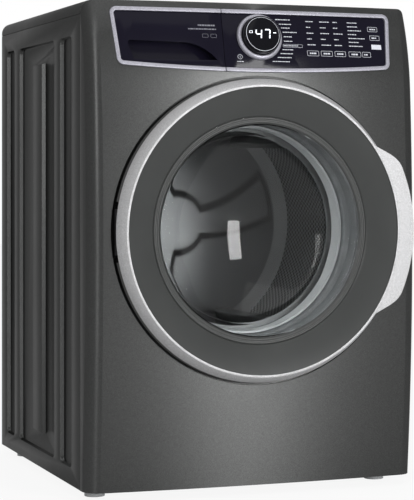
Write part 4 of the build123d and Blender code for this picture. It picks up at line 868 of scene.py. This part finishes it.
class Signs(Shape):
    """Flat printed signs of one panel, built as one sheet of ink."""

    ink_depth = 0.08
    corner_steps = 3
    loop_steps = 28

    def bar(self, seat: Matrix) -> list[bmesh.types.BMVert]:
        """Print a filled bar, at a place that has its width and height on the first two axes."""
        return bmesh.ops.create_grid(self.mesh, x_segments=1, y_segments=1, size=0.5, matrix=seat)["verts"]

    def frame(self, seat: Matrix, corner: float, line: float) -> None:
        """Print the outline of a key.

        Args:
            seat: Place of the key, with its width and height on the first two axes.
            corner: Rounding of its corners in millimetres.
            line: Width of the line in millimetres.
        """
        before = set(self.mesh.faces)
        bmesh.ops.bevel(
            self.mesh, geom=self.bar(seat), offset=corner * MM, segments=self.corner_steps, profile=0.5,
            affect="VERTICES", material=-1,
        )
        self.hollow(before, line)

    def loop(self, seat: Matrix, radius: float, line: float) -> None:
        """Print a round outline.

        Args:
            seat: Place of its centre.
            radius: Outer radius in millimetres.
            line: Width of the line in millimetres.
        """
        before = set(self.mesh.faces)
        bmesh.ops.create_circle(
            self.mesh, cap_ends=True, segments=self.loop_steps, radius=radius, matrix=seat
        )
        self.hollow(before, line)

    def hollow(self, before: set[bmesh.types.BMFace], line: float) -> None:
        """Leave only the border of the faces that are new.

        Args:
            before: Faces that were there already.
            line: Width of the border in millimetres.
        """
        faces = [face for face in self.mesh.faces if face not in before]
        bmesh.ops.inset_region(
            self.mesh, faces=faces, thickness=line * MM, use_even_offset=True, use_boundary=True
        )
        bmesh.ops.delete(self.mesh, geom=faces, context="FACES")

    def thicken(self) -> None:
        """Give the ink its thickness."""
        bmesh.ops.recalc_face_normals(self.mesh, faces=self.mesh.faces)
        bmesh.ops.solidify(self.mesh, geom=self.mesh.faces[:], thickness=self.ink_depth * MM)


@dataclass
class Cabinet:
    """Painted shell, rear panel, base and feet, in millimetres."""

    front_edge: float = 1.0
    panel_edge: float = 0.8
    sheet_edge: float = 0.5
    foot_edge: float = 1.0
    front_y: float = -370.5
    crown_z: float = 490.0
    crown_radius: float = 4900.0
    bend_z: float = 800.0
    bend_radius: float = 520.0
    near_crown: float = 1.0
    same_way: float = 0.995

    def build(self) -> None:
        """Dress the shell."""
        front = Shape.reskin("front_panel", "front_skin", PAINT, Ride.CABINET, self.front_edge)
        self.smooth_crown(front)
        for side in ("left", "right"):
            Shape.reskin(f"side_panel_{side}", f"side_skin_{side}", PAINT, Ride.CABINET, self.panel_edge)
        Shape.reskin("top_panel", "top_skin", LID_PAINT, Ride.CABINET, self.panel_edge)
        for node in ("rear_cover", "rear_panel", "base_frame"):
            Shape.reskin(node, f"{node}_sheet", ZINC, Ride.CABINET, self.sheet_edge)
        for foot in (Ride.FOOT_FRONT_LEFT, Ride.FOOT_FRONT_RIGHT, Ride.FOOT_REAR_LEFT, Ride.FOOT_REAR_RIGHT):
            Shape.reskin(foot.value, f"{foot.value}_skin", GREY, foot, self.foot_edge)

    def crown_normal(self, spot: Vector) -> Optional[Vector]:
        """Direction that the crowned front faces at a point.

        Args:
            spot: Point in metres.

        Returns:
            The direction, or None where the point isn't on the crowned surface.
        """
        x, y, z = spot / MM
        root = math.sqrt(BOW_RADIUS**2 - x**2)
        axis_y, axis_z, radius = self.front_y + self.crown_radius, self.crown_z, self.crown_radius
        if z > self.bend_z:
            turn = math.asin((self.bend_z - self.crown_z) / self.crown_radius)
            radius = self.bend_radius
            axis_y -= (self.crown_radius - radius) * math.cos(turn)
            axis_z = self.bend_z - radius * math.sin(turn)
        out = Vector((0.0, y - axis_y, z - axis_z))
        if abs(out.length - radius + BOW_RADIUS - root) > self.near_crown:
            return None
        return (out.normalized() + Vector((x / root, 0.0, 0.0))).normalized()

    def smooth_crown(self, piece: bpy.types.Object) -> None:
        """Shade the crowned front as the smooth surface that it is.

        Args:
            piece: The front's skin.
        """
        data = piece.data
        corners = [each.vector.copy() for each in data.corner_normals]
        for face in data.polygons:
            for loop in face.loop_indices:
                facing = self.crown_normal(data.vertices[data.loops[loop].vertex_index].co)
                if facing and facing.dot(face.normal) > self.same_way:
                    corners[loop] = facing
        data.normals_split_custom_set(corners)


class Bar(Enum):
    """Bars of a lit digit: centre across and up, width and height, in millimetres."""

    TOP = (0.0, 9.2, 9.4, 2.4)
    UPPER_LEFT = (-5.6, 4.7, 2.4, 7.6)
    UPPER_RIGHT = (5.6, 4.7, 2.4, 7.6)
    MIDDLE = (0.0, 0.0, 9.4, 2.4)
    LOWER_RIGHT = (5.6, -4.7, 2.4, 7.6)


class Digit(Enum):
    """Digits of the display, as the bars that are lit."""

    FOUR = (Bar.UPPER_LEFT, Bar.MIDDLE, Bar.UPPER_RIGHT, Bar.LOWER_RIGHT)
    SEVEN = (Bar.TOP, Bar.UPPER_RIGHT, Bar.LOWER_RIGHT)


@dataclass(frozen=True)
class Key:
    """Outlined touch key in millimetres, with the share of its width that is printed and its outline."""

    x: float
    z: float
    width: float
    height: float = 11.0
    printed: float = 0.56
    letter: float = 3.0
    corner: float = 1.4
    line: float = 0.6


@dataclass
class Console:
    """Control panel with its trims, dial, display and printed signs, in millimetres."""

    trim_edge: float = 1.4
    fascia_edge: float = 0.4
    drawer_edge: float = 0.8
    lean: float = 0.2495
    lean_y: float = -343.9
    lean_z: float = 895.0
    face_drop: float = 0.6
    dial_spot: Place = (6.0, -343.385, 897.0)
    dial_steps: int = 96
    lens_radius: float = 35.0
    lens_top: float = 22.0
    ink: float = 0.12
    letter: float = 1.6
    digit_lean: float = 0.12
    word_lengths: tuple[float, ...] = (5.2, 3.4, 7.0, 2.6, 4.4)
    word_gap: float = 0.9
    least_word: float = 2.0
    cycle_radius: float = 53.0
    cycle_drops: tuple[float, ...] = (37.0, 28.0, 20.5, 12.0, 3.0, -6.0, -15.0, -23.0, -31.0, -39.0, -47.0)
    cycle_lengths: tuple[float, ...] = (33.0, 29.0, 20.0, 30.0, 20.0, 18.0, 31.0, 24.0, 29.0, 31.0, 38.0)
    rows_top: float = 932.0
    columns: tuple[tuple[float, float, tuple[float, ...]], ...] = (
        (109.0, 11.7, (17.0, 9.0, 16.0, 12.0, 20.0)),
        (139.0, 11.7, (21.0, 13.0, 19.0, 12.0, 23.0)),
        (168.0, 11.7, (10.0, 12.0, 20.0, 10.0, 16.0)),
        (200.0, 7.9, (22.0, 22.0, 30.0, 20.0, 38.0, 24.0, 30.0)),
    )
    keys: tuple[Key, ...] = (
        Key(119.0, 868.0, 25.0),
        Key(149.0, 868.0, 25.0),
        Key(178.5, 868.0, 24.0),
        Key(211.0, 868.0, 27.0),
        Key(237.0, 868.0, 19.0),
        Key(256.0, 920.0, 22.0, 10.0, 0.6, 2.4),
        Key(259.0, 902.5, 22.0, 10.0, 0.6, 2.4),
    )
    start_key: tuple[float, float, float, float] = (261.0, 884.0, 22.0, 10.0)
    power_spot: tuple[float, float] = (-37.0, 858.0)

    def build(self) -> None:
        """Dress the console and the drawer front."""
        for node, ride in (("console_trim", Ride.CABINET), ("drawer_trim", Ride.DRAWER)):
            Shape.reskin(node, f"{node}_bright", TRIM, ride, self.trim_edge, 3)
        Shape.reskin("control_fascia", "fascia_gloss", CONSOLE_GLOSS, Ride.CABINET, self.fascia_edge)
        Shape.reskin("drawer_front", "drawer_gloss", CONSOLE_GLOSS, Ride.DRAWER, self.drawer_edge, 3)
        self.dial()
        self.display()
        self.control_signs()
        self.drawer_signs()

    @property
    def facing(self) -> Vector:
        """Direction that the dial faces."""
        return Vector((0.0, -math.cos(self.lean), math.sin(self.lean)))

    @property
    def upward(self) -> Vector:
        """Direction up the console's face."""
        return Vector((0.0, math.sin(self.lean), math.cos(self.lean)))

    def seat(self, x: float, z: float, width: float = 1.0, height: float = 1.0) -> Matrix:
        """Place of a sign on the console's bowed face.

        Args:
            x: Centre across, in millimetres.
            z: Height of the centre, in millimetres.
            width: Width of the sign in millimetres.
            height: Height of the sign in millimetres.

        Returns:
            Matrix from a unit square to the sign.
        """
        root = math.sqrt(BOW_RADIUS**2 - x**2)
        drop = self.face_drop - self.ink + BOW_RADIUS - root
        rise = (z - self.lean_z + drop * math.sin(self.lean)) / math.cos(self.lean)
        y = self.lean_y + drop * math.cos(self.lean) + rise * math.sin(self.lean)
        across = (RIGHT - self.facing * (x / root)).normalized()
        turn = Matrix((across * width, self.upward * height, across.cross(self.upward))).transposed()
        return Matrix.Translation(Vector((x, y, z)) * MM) @ (turn * MM).to_4x4()

    def words(self, signs: Signs, left: float, z: float, length: float, letter: float = 0.0) -> None:
        """Print a row of short bars in place of words.

        Args:
            signs: Sheet to print on.
            left: Start of the row in millimetres.
            z: Height of the row in millimetres.
            length: Length of the row in millimetres.
            letter: Height of the bars in millimetres, or 0 for the usual one.
        """
        place = left
        step = round(abs(z))
        while place < left + length - self.least_word:
            width = min(self.word_lengths[step % len(self.word_lengths)], left + length - place)
            signs.bar(self.seat(place + width / 2, z, width, letter or self.letter))
            place += width + self.word_gap
            step += 1

    def turn(self, profile: Sequence[Corner], closed: bool = True) -> Shape:
        """Turn a profile about the dial's axis."""
        return Shape.turned(profile, self.dial_steps, closed, Vector(self.dial_spot) * MM, self.facing)

    def dial(self) -> None:
        """Turn the bright ring of the dial and its dark wall."""
        ring = [
            Corner(47.0, 0.8), Corner(47.0, 5.0, 2.6, 5), Corner(43.0, 8.8, 2.6, 5), Corner(39.4, 8.2, 0.6),
            Corner(38.3, 6.4, 0.4), Corner(38.3, 0.8),
        ]
        self.turn(ring).finish("dial_ring", TRIM, Ride.DIAL, ["cycle_dial"])
        wall = [
            Corner(38.2, 0.8), Corner(38.2, 12.0, 0.3), Corner(37.6, 12.4, 0.2), Corner(37.6, 13.4, 0.2),
            Corner(38.0, 13.8, 0.3), Corner(38.0, 20.8, 1.0), Corner(35.3, 20.8, 0.4), Corner(35.3, 0.8),
        ]
        self.turn(wall).finish("dial_wall", LENS, Ride.DIAL)

    def display(self) -> None:
        """Turn the lens and its printed rim, and light its reading."""
        top = self.lens_top
        edge = self.lens_radius
        lens = [Corner(0.0, 0.5), Corner(edge, 0.5), Corner(edge, top, 0.8), Corner(0.0, top)]
        self.turn(lens, False).finish("lens_window", LENS, Ride.CABINET, ["display_lens"])
        rim = [
            Corner(33.9, top - 0.1), Corner(33.9, top + 0.2, 0.1), Corner(34.7, top - 0.1, 0.1),
            Corner(34.7, top - 0.4),
        ]
        self.turn(rim).finish("lens_rim", WHITE_INK, Ride.CABINET)
        self.reading()

    def reading(self) -> None:
        """Light the minutes that are left, in seven bar digits, with two small signs beside them."""
        signs = Signs()
        for middle, digit in ((-8.6, Digit.FOUR), (9.0, Digit.SEVEN)):
            for bar in digit.value:
                x, y, width, height = bar.value
                signs.bar(self.bar_seat(middle + x, y, width, height))
        signs.frame(self.bar_seat(-25.0, 4.0, 7.0, 5.0), 0.8, 0.8)
        signs.bar(self.bar_seat(24.5, 3.0, 6.0, 1.6))
        signs.thicken()
        seat = Vector(self.dial_spot) * MM + self.facing * ((self.lens_top + 0.05) * MM)
        turn = Matrix((RIGHT, self.upward, self.facing)).transposed().to_4x4()
        signs.mesh.transform(Matrix.Translation(seat) @ turn)
        signs.finish("display_reading", LIT_SIGN, Ride.CABINET)

    def bar_seat(self, x: float, y: float, width: float, height: float) -> Matrix:
        """Place of a lit bar on the lens, leaning as the digits do.

        Args:
            x: Centre across, in millimetres.
            y: Centre upwards, in millimetres.
            width: Width in millimetres.
            height: Height in millimetres.

        Returns:
            Matrix from a unit square to the bar.
        """
        lean = Matrix.Identity(4)
        lean[0][1] = self.digit_lean
        place = Matrix.Translation((x * MM, y * MM, 0.0))
        return lean @ place @ Matrix.Diagonal((width * MM, height * MM, MM, 1.0))

    def control_signs(self) -> None:
        """Print the rows and keys round the dial."""
        signs = Signs()
        x, _, z = self.dial_spot
        for drop, length in zip(self.cycle_drops, self.cycle_lengths):
            self.words(signs, x + math.sqrt(self.cycle_radius**2 - drop**2), z + drop, length)
        signs.frame(self.seat(x + 70.5, z - 15.0, 42.0, 6.4), 1.0, 0.45)
        for left, pitch, lengths in self.columns:
            for row, length in enumerate(lengths):
                self.words(signs, left, self.rows_top - pitch * row, length)
        for key in self.keys:
            signs.frame(self.seat(key.x, key.z, key.width, key.height), key.corner, key.line)
            left = key.x - key.width * key.printed / 2
            self.words(signs, left, key.z, key.width * key.printed, key.letter)
        signs.bar(self.seat(*self.start_key))
        signs.loop(self.seat(*self.power_spot), 5.0, 0.7)
        signs.bar(self.seat(*self.power_spot, 0.9, 4.2))
        self.words(signs, -43.5, 848.5, 13.0)
        signs.thicken()
        signs.finish("control_signs", WHITE_INK, Ride.CABINET)

    def drawer_signs(self) -> None:
        """Print the rows on the drawer front."""
        signs = Signs()
        self.words(signs, -119.0, 918.5, 37.0, 3.0)
        self.words(signs, -139.0, 911.0, 57.0, 2.4)
        for middle in (-105.0, -88.0):
            signs.frame(self.seat(middle, 898.0, 12.0, 7.5), 1.6, 0.5)
        signs.thicken()
        signs.finish("drawer_signs", DIM_INK, Ride.DRAWER)


@dataclass
class Door:
    """Round door with its ring, funnel, glass bowl and gasket, in millimetres."""

    ring_edge: float = 0.9
    frame_edge: float = 0.6
    ring_steps: int = 192
    hinge_half: float = 62.0
    dome_radius: float = 300.0
    dome_depth: float = 86.0
    dome_reach: float = 150.0
    dome_steps: int = 12
    glass_wall: float = 5.0
    seal_front: float = -30.0
    seal_back: float = 10.0

    def build(self) -> None:
        """Make the door's pieces."""
        Shape.reskin("door_ring", "ring_satin", SILVER, Ride.DOOR, self.ring_edge, 3)
        self.bead()
        self.skirt()
        self.funnel()
        self.bezel()
        self.bowl()
        self.gasket()
        Shape.reskin("door_inner_frame", "inner_frame_moulding", BLACK, Ride.DOOR, self.frame_edge)

    def bead(self) -> None:
        """Turn the bright bead on the ring's inner edge."""
        profile = [
            Corner(279.6, -107.4), Corner(279.6, -110.0, 0.9),
            Corner(281.8, -110.0, 0.9), Corner(281.8, -107.4),
        ]
        Shape.turned(profile, self.ring_steps).finish("ring_bead", CHROME, Ride.DOOR)

    def skirt(self) -> None:
        """Turn the ring's black skirt that closes the gap to the dish, open at the hinge; its black is
        painted shadow of that gap.
        """
        profile = [Corner(295.4, -82.6), Corner(297.6, -72.5), Corner(296.6, -72.3), Corner(294.4, -82.4)]
        shape = Shape.turned(profile, self.ring_steps)
        middles = {face: face.calc_center_median() for face in shape.mesh.faces}
        half = self.hinge_half * MM
        spare = [face for face, middle in middles.items() if middle.x < 0 and abs(middle.z - DRUM_Z) < half]
        bmesh.ops.delete(shape.mesh, geom=spare, context="FACES")
        shape.close()
        # Black finish: painted shadow of the gap between the ring and the dish.
        shape.finish("ring_skirt_gap_shadow", BLACK, Ride.DOOR)

    def funnel(self) -> None:
        """Turn the dark funnel between the ring and the glass."""
        profile = [
            Corner(280.0, -107.2, 0.6), Corner(224.0, -82.2, 2.5), Corner(222.0, -80.4, 0.6),
            Corner(222.0, -78.8), Corner(225.5, -78.8), Corner(280.0, -105.0),
        ]
        Shape.turned(profile).finish("funnel_ring", FUNNEL, Ride.DOOR, ["door_trim"])

    def bezel(self) -> None:
        """Turn the dark ridged bezel that lies on the rim of the glass."""
        profile = [
            Corner(221.6, -78.6), Corner(221.6, -81.0, 0.8), Corner(218.6, -82.2, 1.2),
            Corner(215.4, -80.2, 1.4), Corner(212.0, -82.0, 1.6), Corner(208.6, -79.6, 0.8),
            Corner(207.6, -78.6),
        ]
        Shape.turned(profile).finish("glass_bezel", FUNNEL, Ride.DOOR)

    def bowl(self) -> None:
        """Turn the glass bowl with its domed end."""
        steps = [self.dome_reach * step / self.dome_steps for step in range(self.dome_steps + 1)]
        inner = [Corner(each, self.dome_along(each)) for each in steps]
        outer = [Corner(each, self.dome_along(each) + self.glass_wall) for each in reversed(steps)]
        wall = [
            Corner(184.0, 26.0, 16.0, 6), Corner(206.0, -78.5, 3.0), Corner(227.0, -78.5, 1.0),
            Corner(227.0, -73.5, 1.0), Corner(209.6, -73.5, 4.0), Corner(188.2, 29.0, 18.0, 6),
        ]
        shape = Shape.turned(inner + wall + outer, closed=False)
        shape.finish("glass_bowl", GLASS, Ride.DOOR, ["door_glass"])

    def dome_along(self, radius: float) -> float:
        """Distance behind the seam of the bowl's domed end, at a radius."""
        return self.dome_depth - self.dome_radius + math.sqrt(self.dome_radius**2 - radius**2)

    def gasket(self) -> None:
        """Turn the folded seal between the front panel and the tub."""
        profile = [
            Corner(212.2, -60.0, 1.2), Corner(212.2, -24.0, 4.0), Corner(234.0, -15.0, 5.0),
            Corner(234.0, -5.0, 5.0), Corner(213.0, 4.0, 4.0), Corner(210.9, 43.7), Corner(214.4, 43.7),
            Corner(216.5, 7.0, 4.0), Corner(238.0, -3.0, 6.0), Corner(238.0, -17.0, 6.0),
            Corner(215.7, -27.0, 4.0), Corner(215.7, -60.0, 1.2),
        ]
        piece = Shape.turned(profile).finish("seal_bellows", SOFT_RUBBER, None, ["door_gasket"])
        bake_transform(piece)


@dataclass(frozen=True)
class Bellows:
    """Standing bellows hose from cabinet to tub, in millimetres, with its foot behind the seam."""

    name: str
    node: str
    foot: Vector
    height: float
    bore: float
    folds: int
    tub_on_top: bool
    cuff: float = 7.0
    wall: float = 2.6
    peak: float = 5.6
    valley: float = 2.4
    bend: float = 0.2
    steps: int = 48

    def build(self) -> None:
        """Turn the hose with its folds between its cuffs, on no body."""
        seat = Vector((self.foot.x * MM, SEAM_Y + self.foot.y * MM, self.foot.z * MM))
        pitch = (self.height - 2 * self.cuff) / self.folds
        outside = self.bore + self.wall
        profile = [Corner(outside, 0.0), Corner(outside, self.cuff, 0.8)]
        for fold in range(self.folds):
            for rise, share in ((self.peak, 0.5), (self.valley, 1)):
                along = self.cuff + pitch * (fold + share)
                profile.append(Corner(self.bore + rise, along, pitch * self.bend, 3))
        profile += [Corner(outside, self.height), Corner(self.bore, self.height), Corner(self.bore, 0.0)]
        shape = Shape.turned(profile, self.steps, True, seat, UP)
        piece = shape.finish(self.name, BLACK_RUBBER, None, [self.node])
        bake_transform(piece)


@dataclass
class WashGroup:
    """Drum, tub, suspension and hoses, in millimetres and degrees."""

    vane_edge: float = 8.0
    front_edge: float = 0.4
    belt_edge: float = 0.8
    back_radius: float = 268.0
    back_corner: float = 24.0
    back_along: float = 470.0
    back_sheet: float = 1.5
    back_step: float = 4.0
    back_steps: int = 240
    back_dome: float = 12.0
    back_smooth: float = 60.0
    arm_angles: tuple[float, ...] = (115.0, 235.0, 355.0)
    arm_half: float = 30.0
    arm_widening: float = 0.12
    arm_sweep: float = 24.0
    arm_slope: float = 16.0
    arm_height: float = 18.0
    arm_end: float = 6.0
    hub_half: float = 74.0
    spring_x: float = 230.0
    spring_back: float = 260.0
    spring_low: float = 729.2
    spring_high: float = 906.6
    spring_radius: float = 15.2
    spring_turns: int = 38
    turn_steps: int = 20
    wire: float = 1.7
    wire_sides: int = 8
    hose_z: float = 885.0
    hose_steps: int = 40
    hoses: tuple[Bellows, ...] = (
        Bellows("dispenser_bellows", "dispenser_hose", Vector((-200.0, 150.0, 795.2)), 30.0, 18.3, 3, False),
        Bellows("sump_bellows", "sump_hose", Vector((110.0, 170.0, 112.3)), 126.7, 22.3, 7, True),
    )

    def build(self) -> None:
        """Dress the drum and make the pieces that flex."""
        Shape.reskin("drum_barrel", "drum_sieve", SIEVE, Ride.DRUM)
        self.pressed_back()
        Shape.reskin("drum_lifters", "drum_vanes", SHADED_STAINLESS, Ride.DRUM, self.vane_edge, 5)
        Shape.reskin("drum_front", "drum_front_ring", SHADED_STAINLESS, Ride.DRUM, self.front_edge)
        Shape.reskin("drive_belt", "ribbed_belt", BLACK_RUBBER, Ride.TUB, self.belt_edge)
        for side, name in ((-1, "spring_left"), (1, "spring_right")):
            self.spring(side, name)
        for hose in self.hoses:
            hose.build()
        self.fill_hoses()

    def pressed_back(self) -> None:
        """Turn the drum's back and press its hub and three swept arms forwards."""
        flat = self.back_radius - self.back_corner
        rings = round(flat / self.back_step)
        front = [Corner(self.back_step * ring, self.back_along) for ring in range(rings + 1)]
        lip = self.back_along - self.back_corner + self.back_sheet
        behind = self.back_along + self.back_sheet
        rim = [
            Corner(self.back_radius - self.back_sheet, lip), Corner(self.back_radius, lip),
            Corner(flat + 0.6, behind), Corner(0.0, behind),
        ]
        shape = Shape.turned(front + rim, self.back_steps, False)
        for point in shape.mesh.verts:
            if point.co.y - SEAM_Y < (self.back_along + self.back_sheet / 2) * MM:
                point.co.y -= self.pressing(point.co.x / MM, (point.co.z - DRUM_Z) / MM) * MM
        shape.finish("drum_back_pressing", SHADED_STAINLESS, Ride.DRUM, ["drum_back"], self.back_smooth)

    def pressing(self, x: float, up: float) -> float:
        """Height of the pressed form at a point of the drum's back.

        Args:
            x: Distance to the right of the axis in millimetres.
            up: Height above the axis in millimetres.

        Returns:
            Height in millimetres.
        """
        out = math.hypot(x, up)
        inside = self.hub_half - out
        for angle in self.arm_angles:
            turn = math.atan2(up, x) - math.radians(angle + self.arm_sweep * out / self.back_radius)
            if math.cos(turn) > 0.0:
                inside = max(inside, self.arm_half + self.arm_widening * out - abs(out * math.sin(turn)))
        inside = min(inside, self.back_radius - self.back_corner - self.arm_end - out)
        share = min(max(inside / self.arm_slope, 0.0), 1.0)
        dome = self.back_dome * (1.0 - (out / self.back_radius) ** 2)
        return self.arm_height * share * share * (3.0 - 2.0 * share) + dome

    def spring(self, side: int, name: str) -> None:
        """Wind a suspension spring.

        Args:
            side: 1 for the right side, -1 for the left, whose spring stands for the CAD node of both.
            name: Name of the piece.
        """
        steps = self.turn_steps * self.spring_turns
        rise = (self.spring_high - self.spring_low - 2 * self.wire) * MM
        y = SEAM_Y + self.spring_back * MM
        middle = Vector((side * self.spring_x * MM, y, (self.spring_low + self.wire) * MM))
        start = Matrix.Translation(middle + RIGHT * (self.spring_radius * MM))
        shape = Shape()
        bmesh.ops.create_circle(
            shape.mesh, cap_ends=False, segments=self.wire_sides, radius=self.wire * MM,
            matrix=start @ Matrix.Rotation(math.pi / 2, 4, "X"),
        )
        bmesh.ops.spin(
            shape.mesh, geom=shape.mesh.verts[:] + shape.mesh.edges[:], cent=middle, axis=UP,
            dvec=UP * (rise / steps), angle=2 * math.pi * self.spring_turns, steps=steps, use_duplicate=False,
        )
        shape.close()
        piece = shape.finish(name, STEEL, None, ["suspension_springs"] if side < 0 else [])
        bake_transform(piece)

    def fill_hoses(self) -> None:
        """Turn the two smooth fill hoses with their cuffs."""
        profile = [
            Corner(9.4, 206.3, 0.5), Corner(9.4, 224.0, 0.8), Corner(8.0, 226.0, 0.8),
            Corner(8.0, 580.0, 0.8), Corner(9.4, 582.0, 0.8), Corner(9.4, 599.7, 0.5),
            Corner(6.0, 599.7), Corner(6.0, 206.3),
        ]
        for x, name, nodes in ((-200.0, "fill_hose_hot", ["fill_hoses"]), (-145.0, "fill_hose_cold", [])):
            seat = Vector((x * MM, SEAM_Y, self.hose_z * MM))
            Shape.turned(profile, self.hose_steps, True, seat).finish(name, GREY, Ride.CABINET, nodes)


@dataclass(frozen=True)
class Softbox:
    """Studio lamp: its place, its width and height in metres, and its power in watts."""

    name: str
    place: Place
    size: tuple[float, float]
    power: float
    target: Place = (0.0, 0.0, 0.5)

    def hang(self) -> None:
        """Hang the lamp, facing the machine."""
        data = bpy.data.lights.new(self.name, "AREA")
        data.shape = "RECTANGLE"
        data.size, data.size_y = self.size
        data.energy = self.power
        lamp = bpy.data.objects.new(self.name, data)
        lamp.location = self.place
        lamp.rotation_euler = (Vector(self.target) - Vector(self.place)).to_track_quat("-Z", "Y").to_euler()
        bpy.context.scene.collection.objects.link(lamp)


@dataclass
class Studio:
    """Floor, lights and camera, in metres and degrees."""

    camera_place: Place = (-1.3127, -3.7518, 0.6379)
    camera_yaw: float = -20.41
    lens: float = 134.06
    sensor: float = 36.0
    shift: tuple[float, float] = (-0.0558, -0.161)
    sight: float = 60.0
    ambient: float = 0.32
    mirrored: float = 0.35
    floor_half: float = 12.0
    floor_colour: Colour = (0.86, 0.86, 0.86)
    floor_rough: float = 0.8
    floor_glow: float = 0.9
    lamps: tuple[Softbox, ...] = (
        Softbox("key_strip", (1.41, -4.3, 1.0), (0.7, 2.0), 112.0),
        Softbox("top_softbox", (-0.4, -1.2, 3.8), (4.0, 4.0), 50.0),
        Softbox("left_softbox", (-2.9, -3.1, 1.7), (1.0, 2.0), 34.0),
    )

    def build(self) -> None:
        """Set the stage."""
        self.world()
        self.floor()
        for lamp in self.lamps:
            lamp.hang()
        self.camera()
        bpy.context.scene.view_settings.view_transform = "Standard"

    def seen(self, sketch: NodeSketch) -> Out:
        """Share of the white background that each kind of ray sees.

        Args:
            sketch: Tree to draw in.

        Returns:
            1 for camera and transmission rays, less for mirrored ones, 0 for the rest.
        """
        rays = sketch.add("ShaderNodeLightPath").outputs
        mirrored = sketch.math("MULTIPLY", rays["Is Glossy Ray"], self.mirrored)
        straight = sketch.math("MAXIMUM", rays["Is Camera Ray"], rays["Is Transmission Ray"])
        return sketch.math("MAXIMUM", straight, mirrored)

    def world(self) -> None:
        """Light the room evenly, with a white background."""
        world = bpy.data.worlds.new("white_studio")
        world.use_nodes = True
        bpy.context.scene.world = world
        sketch = NodeSketch(world.node_tree)
        sketch.tree.nodes.remove(sketch.tree.nodes["Background"])
        dim, white = (
            sketch.add("ShaderNodeBackground", {"Color": WHITE_LIGHT, "Strength": strength}).outputs[0]
            for strength in (self.ambient, 1.0)
        )
        mixed = sketch.mix(self.seen(sketch), dim, white)
        sketch.feed(sketch.tree.nodes["World Output"].inputs["Surface"], mixed)

    def floor(self) -> None:
        """Lay the pale floor."""
        mesh = bmesh.new()
        bmesh.ops.create_grid(mesh, x_segments=4, y_segments=4, size=self.floor_half)
        data = bpy.data.meshes.new("floor")
        mesh.to_mesh(data)
        mesh.free()
        made = bpy.data.materials.new("pale_floor")
        surface = Surface(made, self.floor_colour)
        surface.put({"Roughness": self.floor_rough, "Specular IOR Level": 0.0})
        white = surface.add("ShaderNodeEmission", {"Color": WHITE_LIGHT, "Strength": 1.0}).outputs[0]
        share = surface.math("MULTIPLY", self.seen(surface), self.floor_glow)
        surface.show(surface.mix(share, surface.shader.outputs[0], white))
        data.materials.append(made)
        piece = bpy.data.objects.new("floor", data)
        bpy.context.scene.collection.objects.link(piece)

    def camera(self) -> None:
        """Stand the camera where the photograph was taken."""
        data = bpy.data.cameras.new("camera")
        data.sensor_width = self.sensor
        data.lens = self.lens
        data.shift_x, data.shift_y = self.shift
        data.clip_end = self.sight
        camera = bpy.data.objects.new("camera", data)
        camera.location = self.camera_place
        camera.rotation_euler = (math.radians(90.0), 0.0, math.radians(self.camera_yaw))
        bpy.context.scene.collection.objects.link(camera)
        bpy.context.scene.camera = camera


def main() -> None:
    """Build the machine and its studio."""
    logging.basicConfig(level=logging.INFO, format="%(name)s %(message)s")
    Studio().build()
    dress_nodes()
    for group in (Cabinet(), Console(), Door(), WashGroup()):
        LOG.info("%s", type(group).__name__)
        group.build()


if __name__ == "__main__":
    main()
